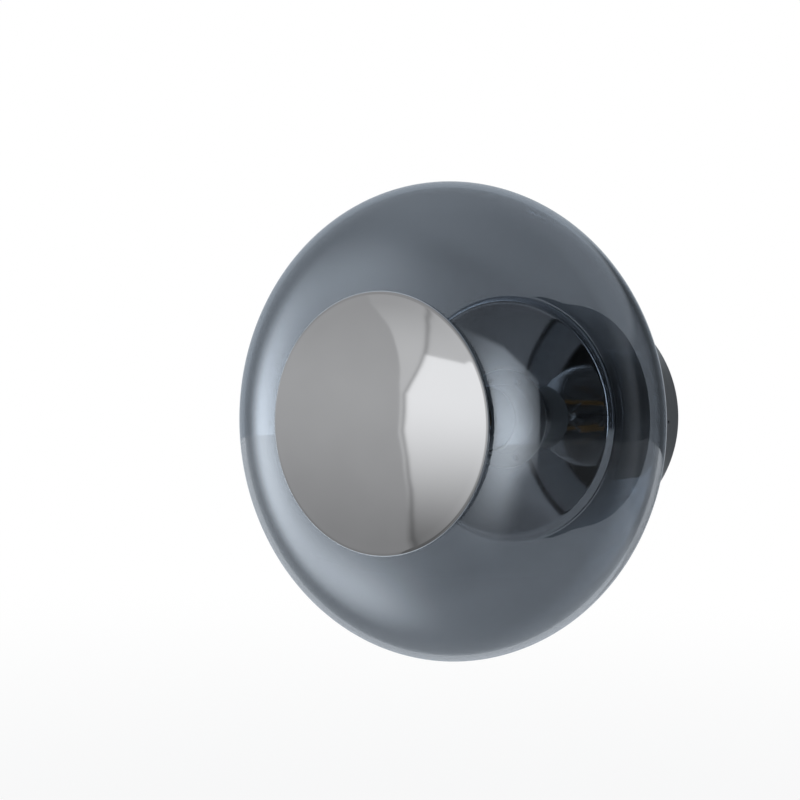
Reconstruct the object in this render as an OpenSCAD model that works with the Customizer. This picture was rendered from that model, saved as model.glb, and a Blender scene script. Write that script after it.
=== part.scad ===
// Globe wall sconce: a smoky glass globe clamped on a metal drum, with a polished disc in front.
// Frame: the wall is the plane Y = 0, the lamp points along -Y and +Z is up.
// Each module is drawn with Z running out of the wall along the lamp's axis and Y up,
// and from_wall() turns it into the frame.

/* [Drum] */
// Outer diameter of the drum and of the mirror plate
drum_d = 160; // [150:1:170]
// Length of the drum from the wall to its front edge
drum_len = 87.5; // [84:0.5:100]
// Sheet thickness of the drum
drum_wall = 1.2; // [0.8:0.1:2]
// Width of the flange that the drum's front edge turns inwards
drum_flange_w = 9; // [6:0.5:12]
// Radius of the mirror plate's rolled edge
plate_edge_r = 4; // [3:0.5:6]
// Sheet thickness of the mirror plate
plate_wall = 1.5; // [1:0.1:2]
// How far the middle of the mirror plate is drawn back
plate_dish = 3; // [1:0.5:5]

/* [Glass shade] */
// Outer diameter of the globe at its widest ring
shade_d = 290; // [250:1:340]
// Thickness of the blown glass
shade_wall = 3.5; // [2.5:0.1:5]
// Thickness of the flat ground lip at the back
lip_t = 4; // [3.5:0.1:6]
// Distance from the back of the lip to the widest ring
shade_back_reach = 82.5; // [70:0.5:100]
// Distance from the widest ring to the rim of the front opening
shade_front_reach = 62; // [55:0.5:90]
// Diameter of the front opening
front_hole_d = 132; // [120:1:140]
// How far the ground lip reaches in from the drum's edge
lip_w = 8; // [6:0.5:11]
// Thickness of the silicone rings on both sides of the lip
seal_t = 0.5; // [0.3:0.1:2]

/* [Front disc] */
// Diameter of the front disc
disc_d = 152; // [144:1:170]
// Thickness of the front disc
disc_t = 2; // [1.5:0.1:4]
// Diameter of a disc magnet
magnet_d = 8; // [6:0.5:8]
// Number of disc magnets
magnet_count = 6; // [3:1:10]

/* [Lampholder] */
// Diameter of the cover's flange
cover_flange_d = 64; // [60:1:80]
// Diameter of the cover's cup
cover_cup_d = 44; // [42.5:0.5:48]
// Height of the cover over the mirror plate
cover_h = 21; // [12:0.5:30]
// Sheet thickness of the cover
cover_wall = 1.2; // [0.8:0.1:1.5]
// Outer diameter of the lampholder's skirt
skirt_d = 40; // [39:0.5:41]
// Outer diameter of the threaded tube
tube_d = 10; // [9:0.1:10.5]
// Wall of the threaded tube
tube_wall = 1; // [0.8:0.1:1.2]

/* [Bulb] */
// Diameter of the bulb's globe
bulb_d = 60; // [45:1:80]
// Length of the bulb from its contact to its tip
bulb_len = 105; // [95:1:110]
// Length of the bulb's cap with its contact
cap_len = 27; // [25:0.5:28]
// Outer diameter of the bulb's cap
cap_d = 26.2; // [25.5:0.1:26.4]
// Number of filaments
filament_count = 4; // [2:1:8]

/* [Wall bracket] */
// Width of the bracket's arms
bracket_w = 24; // [18:1:28]
// Thickness of the bracket and of the bridge
strap_t = 2; // [1.5:0.1:3]
// Length of the bracket's upright arm
bracket_up_len = 124; // [118:1:130]
// Distance between the two wall screws
wall_hole_pitch = 70; // [50:1:90]
// Diameter of a wall screw hole
wall_hole_d = 4.8; // [4:0.1:6]
// Bore of the cable grommet
cable_bore_d = 9; // [6:0.5:10]
// Height of the drum's set screws over the wall
drum_screw_z = 16; // [14:0.5:18]
// Height of the bridge over the wall
bridge_z = 44; // [40:0.5:50]
// Depth of the bridge's set screws behind the bridge
bridge_screw_drop = 7; // [6:0.5:8]

/* [Leads] */
// Outer diameter of an insulated lead
lead_d = 2.2; // [1.8:0.1:2.4]

/* [Hidden] */

$fn = 96;
// Overrun of a cut past the faces that it opens
over = 1;
// Clearance of a screw, tube or insert in the hole that holds it
hold_gap = 0.05;
// Clearance between pieces that only pass each other
pass_gap = 0.3;
// Steps of each curve of an outline
curve_steps = 24;

drum_r = drum_d / 2;
drum_in_r = drum_r - drum_wall;
shade_r = shade_d / 2;
front_hole_r = front_hole_d / 2;
back_hole_r = drum_r - lip_w;
disc_r = disc_d / 2;
tube_r = tube_d / 2;

// Heights over the wall, from the drum outwards
lip_back = drum_len + seal_t;
lip_front = lip_back + lip_t;
plate_back = lip_front + seal_t;
plate_front = plate_back + plate_edge_r;
plate_mid = plate_front - plate_dish;
shade_mid = lip_back + shade_back_reach;
shade_front = shade_mid + shade_front_reach;
cushion_t = 0.5;
disc_back = shade_front + pass_gap + cushion_t;

// Mirror plate: radius of its face, and of the sphere that the face is dished to
plate_face_r = drum_r - plate_edge_r;
dish_r = (plate_face_r * plate_face_r + plate_dish * plate_dish) / (2 * plate_dish);

// Glass shade: the outline leaves the front rim and the back lip at these angles, and its
// handles are shares of the globe's radius
front_rim_angle = 8;
back_rim_angle = 50;
front_rim_share = 0.33;
front_mid_share = 0.235;
back_mid_share = 0.224;
back_rim_share = 0.306;
// How far the globe stands proud of the drum where it meets the lip
shade_margin = 1.9;
shade_seat_r = drum_r + shade_margin;
// How far from the lip's edge and above its face the inner outline meets it
lip_corner_w = 1.2;
lip_corner_h = 0.7;

// Seals lie between this margin outside the back opening and the drum's edge
seal_margin = 1;

// Set screws of the drum and of the bridge
set_screw_d = 3;
set_screw_len = 6;
set_screw_proud = 0.2;
set_socket_d = 1.7;
set_socket_deep = 2;
// Ears of the bracket and the bridge stand this far inside the drum's wall
ear_gap = 1.2;
// They reach this far past the middle of their set screws
ear_margin = 6;
ear_x = drum_in_r - ear_gap;
ear_len = drum_screw_z + ear_margin;
bridge_w = 20;
bridge_ear_len = bridge_screw_drop + ear_margin;
drum_edge_r = 1.5;

// Cable grommet in the bracket's middle
grommet_wall = 2.4;
grommet_lip_w = 2.6;
grommet_lip_t = 2;
cable_hole_r = cable_bore_d / 2 + grommet_wall;

// Slots of the bracket's upright arm
slot_y = 54;
slot_len = 6;

// Terminal block on the upper arm
pole_count = 3;
pole_pitch = 11;
pole_r = 3.1;
block_y = 34;
block_w = 20;
block_h = 14;
block_margin = 6.5;
block_len = (pole_count - 1) * pole_pitch + 2 * block_margin;
insert_wall = 1.5;
insert_short = 1.5;
pole_z = strap_t + block_h / 2;
clamp_pitch = 9;
clamp_d = 3;
clamp_sink = 0.6;
block_screw_d = 2.5;
block_head_d = 4;
block_head_t = 1.5;

// Earth screws, washers and ring tags
earth_y = -42;
earth_x = -40;
earth_d = 4;
earth_head_d = 7.6;
earth_head_t = 2.4;
earth_slot_w = 1;
earth_washer_t = 1;
earth_washer_d = 9;
tag_t = 0.8;
tag_d = 8;
tag_neck_w = 3;
tag_neck_len = 2.5;
tag_barrel_wall = 0.8;
tag_barrel_len = 8;
tag_barrel_r = lead_d / 2 + hold_gap + tag_barrel_wall;
tag_barrel_gap = 0.1;
tag_barrel_lift = tag_barrel_r + tag_barrel_gap;

// What sits on the dished plate clears its face by this much
dish_gap = 0.02;

// Threaded tube and its hexagon nuts, the front one of which sits on the dished plate
nut_h = 4;
nut_d = 16;
nut_seat = dish_z(nut_d / 2) + dish_gap;
tube_tail = 6;
tube_back = bridge_z - nut_h - tube_tail;
tube_grip = 5.5;
base_back = nut_seat + nut_h;
tube_front = base_back + tube_grip;
tube_in_r = tube_r - tube_wall;

// Lampholder, from its base outwards
base_cavity = 4;
base_r = 17.2;
base_wall = 3.2;
carrier_t = 3;
carrier_back = tube_front + base_cavity;
carrier_front = carrier_back + carrier_t;
tongue_t = 0.6;
tongue_w = 5;
tongue_len = 13;
button_r = 2.5;
button_h = 0.9;
contact_z = carrier_front + tongue_t + button_h;
shell_wall = 0.5;
shell_gap = 0.7;
shell_in_r = cap_d / 2 + shell_gap;
shell_len = 23;
shell_foot_w = 3;
thread_pitch = 3.6;
thread_deep = 0.4;
tail_x = 1.9;
tail_r = 1.1;
tail_len = 1.4;
bar_t = 1.4;
bar_w = 2.4;
post_r = 1.2;
skirt_r = skirt_d / 2;
skirt_back = base_back + pass_gap;
skirt_short = 2.5;
skirt_front = contact_z + cap_len - skirt_short;
skirt_lip_t = 2.5;
skirt_lip_gap = 3.1;
skirt_edge_r = 1;

// Cover and its screws
cover_flange_r = cover_flange_d / 2;
cover_cup_r = cover_cup_d / 2;
cover_edge_r = 1.2;
cover_hole_gap = 0.3;
cover_back = dish_z(cover_flange_r) + dish_gap;
cover_screw_count = 4;
cover_screw_angle = 67;
cover_screw_inset = 5.3;
cover_screw_pcr = cover_flange_r - cover_screw_inset;
cover_screw_d = 2.4;
cover_head_d = 4;
cover_head_t = 1.2;
cover_screw_len = 5;

// Bulb: its middle, and the share of its curves
bulb_r = bulb_d / 2;
bulb_mid = contact_z + bulb_len - bulb_r;
bulb_wall = 0.8;
cap_front = contact_z + cap_len;
cap_wall = 0.5;
cap_gap = 0.1;
bulb_neck_r = cap_d / 2 - cap_wall - thread_deep - cap_gap;
bulb_shoulder_angle = -35;
bulb_neck_share = 0.38;
bulb_shoulder_share = 0.47;
solder_r = 4.6;
solder_tip_r = 3;
solder_h = 1.5;
insulator_h = 4;
insulator_back_r = 5.5;
insulator_front_r = 10.5;
cap_cone_h = 2.5;
stem_foot_r = bulb_neck_r - bulb_wall;
stem_foot_h = 4;
stem_neck_r = 4;
stem_neck_h = 14;
stem_rod_r = 2.2;
filament_len = 38;
filament_d = 2.2;
filament_stand = 27;
filament_back = cap_front + filament_stand;
filament_back_r = 11.5;
filament_front_r = 9.5;
stem_past = 4;
stem_top = filament_back + stem_past;
bulb_lead_r = 0.4;
hub_r = 1.6;
hub_h = 1.4;

// Keeper ring in the glass's front opening, and the carrier that enters it
keeper_gap = 0.8;
keeper_t = 1.4;
keeper_r = front_hole_r - keeper_gap;
keeper_proud = 0.3;
keeper_front = shade_front - keeper_proud;
keeper_deep = 8.5;
keeper_back = shade_front - keeper_deep;
keeper_shelf_w = 15;
keeper_in_r = keeper_r - keeper_shelf_w;
keeper_wing_w = 4.8;
bond_t = 0.8;
bond_margin = 0.2;
carrier_ring_gap = 0.5;
carrier_ring_r = keeper_r - keeper_t - carrier_ring_gap;
carrier_margin = 0.75;
carrier_ring_w = magnet_d + 2 * carrier_margin;
carrier_lift = 0.4;
carrier_ring_back = keeper_back + keeper_t + carrier_lift;
magnet_len = 3.4;
magnet_back = keeper_back + keeper_t;
cushion_w = 3;
cushion_inset = 0.4;
disc_edge_r = 0.4;

// Leads
lead_sides = 8;
lead_steps = 16;
lead_stub = 3;
lead_bend = 15;
earth_bend = 17;

// Turns a piece drawn along the lamp's axis into the frame
module from_wall() {
    rotate([90, 0, 0]) children();
}

// A piece turned round the lamp's axis from an outline of radius and height
module turned() {
    from_wall() rotate_extrude() children();
}

// A tube between two heights
module ring(out_r, in_r, back, front) {
    translate([in_r, back]) square([out_r - in_r, front - back]);
}

// Copies at even steps round the lamp's axis
module round_axis(count, start = 0) {
    for (k = [0 : count - 1]) rotate([0, 0, start + k * 360 / count]) children();
}

// Copies on the right and the left
module both_sides() {
    for (side = [0, 180]) rotate([0, 0, side]) children();
}

// Points of a circular arc
function arc(mid, r, from, to, steps) =
    [for (i = [0 : steps]) let (a = from + (to - from) * i / steps) mid + r * [cos(a), sin(a)]];

// Point and slope of a four-point curve
function bez(p, t) =
    pow(1 - t, 3) * p[0] + 3 * pow(1 - t, 2) * t * p[1] + 3 * (1 - t) * t * t * p[2] + pow(t, 3) * p[3];
function bez_slope(p, t) =
    pow(1 - t, 2) * (p[1] - p[0]) + 2 * (1 - t) * t * (p[2] - p[1]) + t * t * (p[3] - p[2]);
function bez_right(p, t) = let (d = bez_slope(p, t)) [d[1], -d[0]] / norm(d);
function bez_line(p, side, steps) =
    [for (i = [0 : steps]) bez(p, i / steps) + side * bez_right(p, i / steps)];
function backwards(points) = [for (i = [len(points) - 1 : -1 : 0]) points[i]];

// Height of the mirror plate's front face at a radius
function dish_z(r) = plate_mid + dish_r - sqrt(dish_r * dish_r - r * r);

// The globe's outline in two curves, from the front rim to the widest ring and on to the lip
function shade_front_curve() =
    let (rim = [front_hole_r, shade_front], wide = [shade_r, shade_mid])
    [rim,
     rim + front_rim_share * shade_r * [cos(front_rim_angle), -sin(front_rim_angle)],
     wide + [0, front_mid_share * shade_r],
     wide];
function shade_back_curve() =
    let (wide = [shade_r, shade_mid], seat = [shade_seat_r, lip_back])
    [wide,
     wide - [0, back_mid_share * shade_r],
     seat + back_rim_share * shade_r * [sin(back_rim_angle), cos(back_rim_angle)],
     seat];
// Height at a radius where the bond meets the globe's inner face near the front rim
function bond_face_z(r) =
    lookup(r, bez_line(shade_front_curve(), shade_wall + hold_gap, curve_steps));

function unit(v) = v / norm(v);
// A route that starts straight, bends once along a four-point curve and ends straight
function bent_route(start, bend, end) =
    concat([start], [for (k = [0 : lead_steps]) bez(bend, k / lead_steps)], [end]);

// A round lead along a route
module lead(line, aside) {
    last = len(line) - 1;
    rings = [for (i = [0 : last])
        let (along = unit(line[min(i + 1, last)] - line[max(i - 1, 0)]),
             u = unit(cross(aside, along)), v = cross(along, u))
        [for (k = [0 : lead_sides - 1])
            let (a = 360 * k / lead_sides) line[i] + lead_d / 2 * (u * cos(a) + v * sin(a))]];
    points = [for (one = rings) for (p = one) p];
    walls = [for (i = [0 : last - 1]) for (k = [0 : lead_sides - 1])
        let (n = (k + 1) % lead_sides, a = i * lead_sides + k, b = i * lead_sides + n)
        for (face = [[a, b, b + lead_sides], [a, b + lead_sides, a + lead_sides]]) face];
    ends = [
        [for (k = [lead_sides - 1 : -1 : 0]) k],
        [for (k = [0 : lead_sides - 1]) last * lead_sides + k]];
    polyhedron(points, concat(walls, ends));
}

// A set screw along the radius of the drum, with a hexagon socket in its end
module set_screw() {
    rotate([0, 90, 0]) difference() {
        translate([0, 0, drum_r + set_screw_proud - set_screw_len])
            cylinder(h = set_screw_len, d = set_screw_d);
        translate([0, 0, drum_r + set_screw_proud - set_socket_deep])
            cylinder(h = set_socket_deep + over, d = set_socket_d, $fn = 6);
    }
}

// The hole for a set screw, through drum and ear
module set_screw_hole(gap) {
    rotate([0, 90, 0]) cylinder(h = drum_r + over, r = set_screw_d / 2 + gap);
}

module wall_bracket() {
    color("silver") from_wall() difference() {
        union() {
            translate([-ear_x, -bracket_w / 2, 0]) cube([2 * ear_x, bracket_w, strap_t]);
            translate([-bracket_w / 2, -bracket_up_len / 2, 0])
                cube([bracket_w, bracket_up_len, strap_t]);
            both_sides() translate([ear_x - strap_t, -bracket_w / 2, 0])
                cube([strap_t, bracket_w, ear_len]);
        }
        translate([0, 0, -over]) {
            cylinder(h = strap_t + 2 * over, r = cable_hole_r);
            both_sides() translate([wall_hole_pitch / 2, 0, 0])
                cylinder(h = strap_t + 2 * over, d = wall_hole_d);
            for (y = [-slot_y, slot_y]) {
                for (x = [-slot_len / 2, slot_len / 2])
                    translate([x, y, 0]) cylinder(h = strap_t + 2 * over, d = wall_hole_d);
                translate([-slot_len / 2, y - wall_hole_d / 2, 0])
                    cube([slot_len, wall_hole_d, strap_t + 2 * over]);
            }
            translate([0, earth_y, 0])
                cylinder(h = strap_t + 2 * over, r = earth_d / 2 + hold_gap);
            block_screw_places() cylinder(h = strap_t + 2 * over, r = block_screw_d / 2 + hold_gap);
        }
        translate([0, 0, drum_screw_z]) both_sides() set_screw_hole(hold_gap);
    }
}

module cable_grommet() {
    color("dimgray") turned() {
        ring(cable_hole_r - hold_gap, cable_bore_d / 2, 0, strap_t + grommet_lip_t);
        ring(cable_hole_r + grommet_lip_w, cable_bore_d / 2, strap_t, strap_t + grommet_lip_t);
    }
}

// Places of the poles and of the block's own screws between them
module pole_places() {
    for (k = [0 : pole_count - 1])
        translate([(k - (pole_count - 1) / 2) * pole_pitch, block_y, 0]) children();
}
module block_screw_places() {
    for (k = [0 : pole_count - 2])
        translate([(k - (pole_count - 2) / 2) * pole_pitch, block_y, 0]) children();
}
// Clamping screws of each pole
module clamp_places() {
    pole_places() for (y = [-clamp_pitch / 2, clamp_pitch / 2]) translate([0, y, 0]) children();
}
// A bar along a pole
module pole_bar(r, length) {
    translate([0, length / 2, pole_z]) rotate([90, 0, 0]) cylinder(h = length, r = r);
}

module terminal_block() {
    color("white") from_wall() difference() {
        translate([-block_len / 2, block_y - block_w / 2, strap_t]) cube([block_len, block_w, block_h]);
        pole_places() pole_bar(pole_r, block_w + 2 * over);
        clamp_places() translate([0, 0, pole_z])
            cylinder(h = block_h, r = clamp_d / 2 + pass_gap);
        block_screw_places() {
            translate([0, 0, strap_t - over])
                cylinder(h = block_h + 2 * over, r = block_screw_d / 2 + hold_gap);
            translate([0, 0, strap_t + block_h - block_head_t])
                cylinder(h = block_head_t + over, r = block_head_d / 2 + hold_gap);
        }
    }
}

module terminal_inserts() {
    color("goldenrod") from_wall() difference() {
        pole_places() pole_bar(pole_r - hold_gap, block_w - 2 * insert_short);
        pole_places() pole_bar(pole_r - insert_wall, block_w + 2 * over);
        clamp_places() translate([0, 0, pole_z]) cylinder(h = block_h, r = clamp_d / 2 + hold_gap);
    }
}

module terminal_screws() {
    head_z = strap_t + block_h - clamp_sink;
    low_z = pole_z + lead_d / 2 + pass_gap;
    color("silver") from_wall() clamp_places() difference() {
        translate([0, 0, low_z]) cylinder(h = head_z - low_z, d = clamp_d);
        translate([-clamp_d, -clamp_sink / 2, head_z - clamp_sink])
            cube([2 * clamp_d, clamp_sink, clamp_sink + over]);
    }
}

module block_screws() {
    color("silver") from_wall() block_screw_places() {
        cylinder(h = strap_t + block_h - block_head_t, d = block_screw_d);
        translate([0, 0, strap_t + block_h - block_head_t])
            cylinder(h = block_head_t - clamp_sink, d = block_head_d);
    }
}

// The two earth points: on the bracket, and on the back of the bridge
module earth_points() {
    translate([0, earth_y, strap_t]) children();
    translate([earth_x, 0, bridge_z]) rotate([180, 0, 0]) children();
}

module earth_screws() {
    seat = tag_t + earth_washer_t;
    color("silver") from_wall() earth_points() difference() {
        union() {
            translate([0, 0, -strap_t]) cylinder(h = strap_t + seat, d = earth_d);
            translate([0, 0, seat]) cylinder(h = earth_head_t, d = earth_head_d);
        }
        translate([-earth_head_d, -earth_slot_w / 2, seat + earth_head_t / 2])
            cube([2 * earth_head_d, earth_slot_w, earth_head_t]);
    }
}

module earth_washers() {
    color("silver") from_wall() earth_points() difference() {
        translate([0, 0, tag_t]) cylinder(h = earth_washer_t, d = earth_washer_d);
        cylinder(h = tag_t + earth_washer_t + over, r = earth_d / 2 + hold_gap);
    }
}

// A ring tag with its barrel towards +Y
module earth_tag(way) {
    barrel_y = earth_washer_d / 2 + tag_neck_len;
    scale([1, way, 1]) difference() {
        union() {
            cylinder(h = tag_t, d = tag_d);
            translate([-tag_neck_w / 2, 0, 0]) cube([tag_neck_w, barrel_y + over, tag_t]);
            translate([0, barrel_y, tag_barrel_lift]) rotate([-90, 0, 0])
                cylinder(h = tag_barrel_len, r = tag_barrel_r);
        }
        translate([0, 0, -over]) cylinder(h = tag_t + 2 * over, r = earth_d / 2 + hold_gap);
        translate([0, barrel_y - over, tag_barrel_lift]) rotate([-90, 0, 0])
            cylinder(h = tag_barrel_len + 2 * over, r = lead_d / 2 + hold_gap);
    }
}

module earth_tags() {
    color("silver") from_wall() earth_points() earth_tag(1);
}

// Routes of the leads, from piece to piece
function tail_z() = carrier_back - tail_len;
function pole_lead_route(side) =
    let (out = [side * pole_pitch, block_y - block_w / 2 - lead_stub, pole_z],
         mouth = [side * tail_x, 0, tube_back])
    bent_route(
        [side * pole_pitch, block_y, pole_z],
        [out, out - [0, lead_bend, 0], mouth - [0, 0, lead_bend], mouth],
        [side * tail_x, 0, tail_z()]);
function earth_lead_route() =
    let (barrel_y = earth_washer_d / 2 + tag_neck_len,
         out = [0, earth_y + barrel_y + tag_barrel_len, strap_t + tag_barrel_lift],
         back = [earth_x, -barrel_y - tag_barrel_len, bridge_z - tag_barrel_lift])
    bent_route(
        out - [0, tag_barrel_len / 2, 0],
        [out, out + [0, earth_bend, 0], back - [0, earth_bend, 0], back],
        back + [0, tag_barrel_len / 2, 0]);

module live_lead() {
    color("saddlebrown") from_wall() lead(pole_lead_route(-1), [1, 0, 0]);
}

module neutral_lead() {
    color("royalblue") from_wall() lead(pole_lead_route(1), [1, 0, 0]);
}

module earth_lead() {
    color("yellowgreen") from_wall() lead(earth_lead_route(), [0, 0, 1]);
}

module drum_sleeve() {
    flange_in_r = drum_r - drum_flange_w;
    color("silver") from_wall() difference() {
        rotate_extrude() difference() {
            union() {
                ring(drum_r, flange_in_r, 0, drum_len - drum_edge_r);
                ring(drum_r - drum_edge_r, flange_in_r, 0, drum_len);
                intersection() {
                    translate([drum_r - drum_edge_r, drum_len - drum_edge_r]) circle(r = drum_edge_r);
                    ring(drum_r, flange_in_r, 0, drum_len);
                }
            }
            ring(drum_in_r, flange_in_r - over, -over, drum_len - drum_wall);
        }
        translate([0, 0, drum_screw_z]) both_sides() set_screw_hole(2 * hold_gap);
        translate([0, 0, bridge_z - bridge_screw_drop]) both_sides() set_screw_hole(2 * hold_gap);
    }
}

module drum_screws() {
    color("gray") from_wall() translate([0, 0, drum_screw_z]) both_sides() set_screw();
}

module bridge() {
    color("silver") from_wall() difference() {
        union() {
            translate([-ear_x, -bridge_w / 2, bridge_z]) cube([2 * ear_x, bridge_w, strap_t]);
            both_sides()
                translate([ear_x - strap_t, -bridge_w / 2, bridge_z - bridge_ear_len])
                    cube([strap_t, bridge_w, bridge_ear_len + strap_t]);
        }
        translate([0, 0, bridge_z - over]) {
            cylinder(h = strap_t + 2 * over, r = tube_r + hold_gap);
            translate([earth_x, 0, 0])
                cylinder(h = strap_t + 2 * over, r = earth_d / 2 + hold_gap);
        }
        translate([0, 0, bridge_z - bridge_screw_drop]) both_sides() set_screw_hole(hold_gap);
    }
}

module bridge_screws() {
    color("gray") from_wall() translate([0, 0, bridge_z - bridge_screw_drop]) both_sides() set_screw();
}

module threaded_tube() {
    color("silver") turned() ring(tube_r, tube_in_r, tube_back, tube_front);
}

// Nuts behind and before the bridge, and behind and before the mirror plate
module tube_nuts() {
    backs = [bridge_z - nut_h, bridge_z + strap_t, plate_mid - plate_wall - nut_h, nut_seat];
    color("silver") from_wall() for (back = backs) translate([0, 0, back]) difference() {
        cylinder(h = nut_h, d = nut_d, $fn = 6);
        translate([0, 0, -over]) cylinder(h = nut_h + 2 * over, r = tube_r + hold_gap);
    }
}

module mirror_plate() {
    steps = 12;
    inner_edge_r = plate_edge_r - plate_wall;
    hole_r = tube_r + hold_gap;
    face = [for (i = [0 : steps]) let (r = hole_r + (plate_face_r - hole_r) * i / steps) [r, dish_z(r)]];
    edge_mid = [plate_face_r, plate_back];
    outline = concat(
        face, arc(edge_mid, plate_edge_r, 90, 0, steps),
        arc(edge_mid, inner_edge_r, 0, 90, steps),
        [for (p = backwards(face)) p - [0, plate_wall]]);
    color("silver") from_wall() difference() {
        rotate_extrude() polygon(outline);
        cover_screw_places() translate([0, 0, -cover_screw_len - over])
            cylinder(h = 2 * cover_screw_len, r = cover_screw_d / 2 + hold_gap);
    }
}

module rear_seal() {
    color("gainsboro") turned()
        ring(drum_r - drum_edge_r, back_hole_r + seal_margin, drum_len, lip_back);
}

module front_seal() {
    color("gainsboro") turned() ring(drum_r, back_hole_r + seal_margin, lip_front, plate_back);
}

module glass_shade() {
    outer = concat(
        bez_line(shade_front_curve(), 0, curve_steps),
        bez_line(shade_back_curve(), 0, curve_steps));
    inner = concat(
        bez_line(shade_front_curve(), shade_wall, curve_steps),
        [for (p = bez_line(shade_back_curve(), shade_wall, curve_steps))
            if (p[1] > lip_front + lip_corner_h) p]);
    lip = [
        [back_hole_r, lip_back], [back_hole_r, lip_front],
        [shade_seat_r - lip_corner_w, lip_front]];
    color("slategray", 0.5) turned() polygon(concat(outer, lip, backwards(inner)));
}

// Places of the cover's screws on its flange
module cover_screw_places() {
    for (side = [1, -1]) for (angle = [cover_screw_angle, -cover_screw_angle])
        rotate([0, 0, angle]) translate([side * cover_screw_pcr, 0, cover_back + cover_wall]) children();
}

module lampholder_cover() {
    top = plate_mid + cover_h;
    flange_top = cover_back + cover_wall;
    hole_r = skirt_r + cover_hole_gap;
    color("whitesmoke") from_wall() difference() {
        rotate_extrude() {
            ring(cover_flange_r - cover_wall / 2, cover_cup_r - cover_wall, cover_back, flange_top);
            translate([cover_flange_r - cover_wall / 2, cover_back + cover_wall / 2])
                circle(d = cover_wall);
            ring(cover_cup_r, cover_cup_r - cover_wall, cover_back, top - cover_edge_r);
            intersection() {
                translate([cover_cup_r - cover_edge_r, top - cover_edge_r]) circle(r = cover_edge_r);
                ring(cover_cup_r, cover_cup_r - cover_edge_r, cover_back, top);
            }
            ring(cover_cup_r - cover_edge_r, hole_r, top - cover_wall, top);
        }
        cover_screw_places() translate([0, 0, -cover_wall - over])
            cylinder(h = cover_wall + 2 * over, r = cover_screw_d / 2 + hold_gap);
    }
}

module cover_screws() {
    color("silver") from_wall() cover_screw_places() {
        translate([0, 0, -cover_screw_len]) cylinder(h = cover_screw_len, d = cover_screw_d);
        difference() {
            cylinder(h = cover_head_t, d = cover_head_d);
            translate([-cover_head_d, -cover_head_t / 4, cover_head_t / 2])
                cube([2 * cover_head_d, cover_head_t / 2, cover_head_t]);
        }
    }
}

module lampholder_base() {
    color("white") turned() {
        ring(base_r, tube_r + hold_gap, base_back, tube_front);
        ring(base_r, base_r - base_wall, base_back, carrier_back);
    }
}

// Rivet post of the shell's foot
module post_place() {
    translate([shell_in_r - shell_foot_w / 2, 0, 0]) children();
}

module contact_carrier() {
    color("white") from_wall() difference() {
        translate([0, 0, carrier_back]) cylinder(h = carrier_t, r = base_r);
        translate([0, 0, carrier_back - over]) {
            translate([-tail_x, 0, 0]) cylinder(h = carrier_t + 2 * over, r = tail_r + hold_gap);
            post_place() cylinder(h = carrier_t + 2 * over, r = post_r + hold_gap);
        }
    }
}

module centre_contact() {
    color("goldenrod") from_wall() {
        translate([-tongue_len / 2, -tongue_w / 2, carrier_front]) cube([tongue_len, tongue_w, tongue_t]);
        translate([0, 0, carrier_front]) cylinder(h = tongue_t + button_h, r = button_r);
        translate([-tail_x, 0, tail_z()]) cylinder(h = carrier_front - tail_z() + tongue_t, r = tail_r);
    }
}

// Wavy outline of a rolled screw thread
function thread_line(r, deep, back, front) =
    let (steps = 6 * ceil((front - back) / thread_pitch))
    [for (i = [0 : steps])
        let (z = back + (front - back) * i / steps)
        [r - deep * (1 - cos(360 * (z - back) / thread_pitch)) / 2, z]];

module screw_shell() {
    front = carrier_front + shell_len;
    line = thread_line(shell_in_r, thread_deep, carrier_front + tongue_t, front);
    outline = concat(line, [for (p = backwards(line)) p + [shell_wall, 0]]);
    bar_back = tail_z();
    color("goldenrod") from_wall() {
        rotate_extrude() {
            polygon(outline);
            ring(shell_in_r + shell_wall, shell_in_r - shell_foot_w, carrier_front, carrier_front + tongue_t);
        }
        post_place() translate([0, 0, bar_back])
            cylinder(h = carrier_front - bar_back + tongue_t, r = post_r);
        translate([tail_x - bar_w / 2, -bar_w / 2, bar_back])
            cube([shell_in_r - shell_foot_w / 2 - tail_x + bar_w / 2, bar_w, bar_t - hold_gap]);
    }
}

module lampholder_skirt() {
    lip_r = cap_d / 2 + skirt_lip_gap;
    color("whitesmoke") turned() {
        ring(skirt_r, base_r + hold_gap, skirt_back, skirt_front - skirt_edge_r);
        ring(skirt_r - skirt_edge_r, lip_r, skirt_front - skirt_lip_t, skirt_front);
        intersection() {
            translate([skirt_r - skirt_edge_r, skirt_front - skirt_edge_r]) circle(r = skirt_edge_r);
            ring(skirt_r, skirt_r - skirt_edge_r, skirt_back, skirt_front);
        }
    }
}

module bulb_contact() {
    color("silver") from_wall() translate([0, 0, contact_z])
        rotate_extrude() polygon([[0, 0], [solder_tip_r, 0], [solder_r, solder_h], [0, solder_h]]);
}

module bulb_insulator() {
    back = contact_z + solder_h;
    color("black") turned()
        polygon([[0, back], [insulator_back_r, back], [insulator_front_r, back + insulator_h],
            [0, back + insulator_h]]);
}

module bulb_cap() {
    back = contact_z + solder_h + insulator_h;
    cone = back + cap_cone_h;
    line = thread_line(cap_d / 2, thread_deep, cone, cap_front);
    color("silver") turned() {
        polygon(concat(
            [[insulator_front_r, back]], line,
            [for (p = backwards(line)) p - [cap_wall, 0]], [[insulator_front_r - cap_wall, back]]));
    }
}

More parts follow.
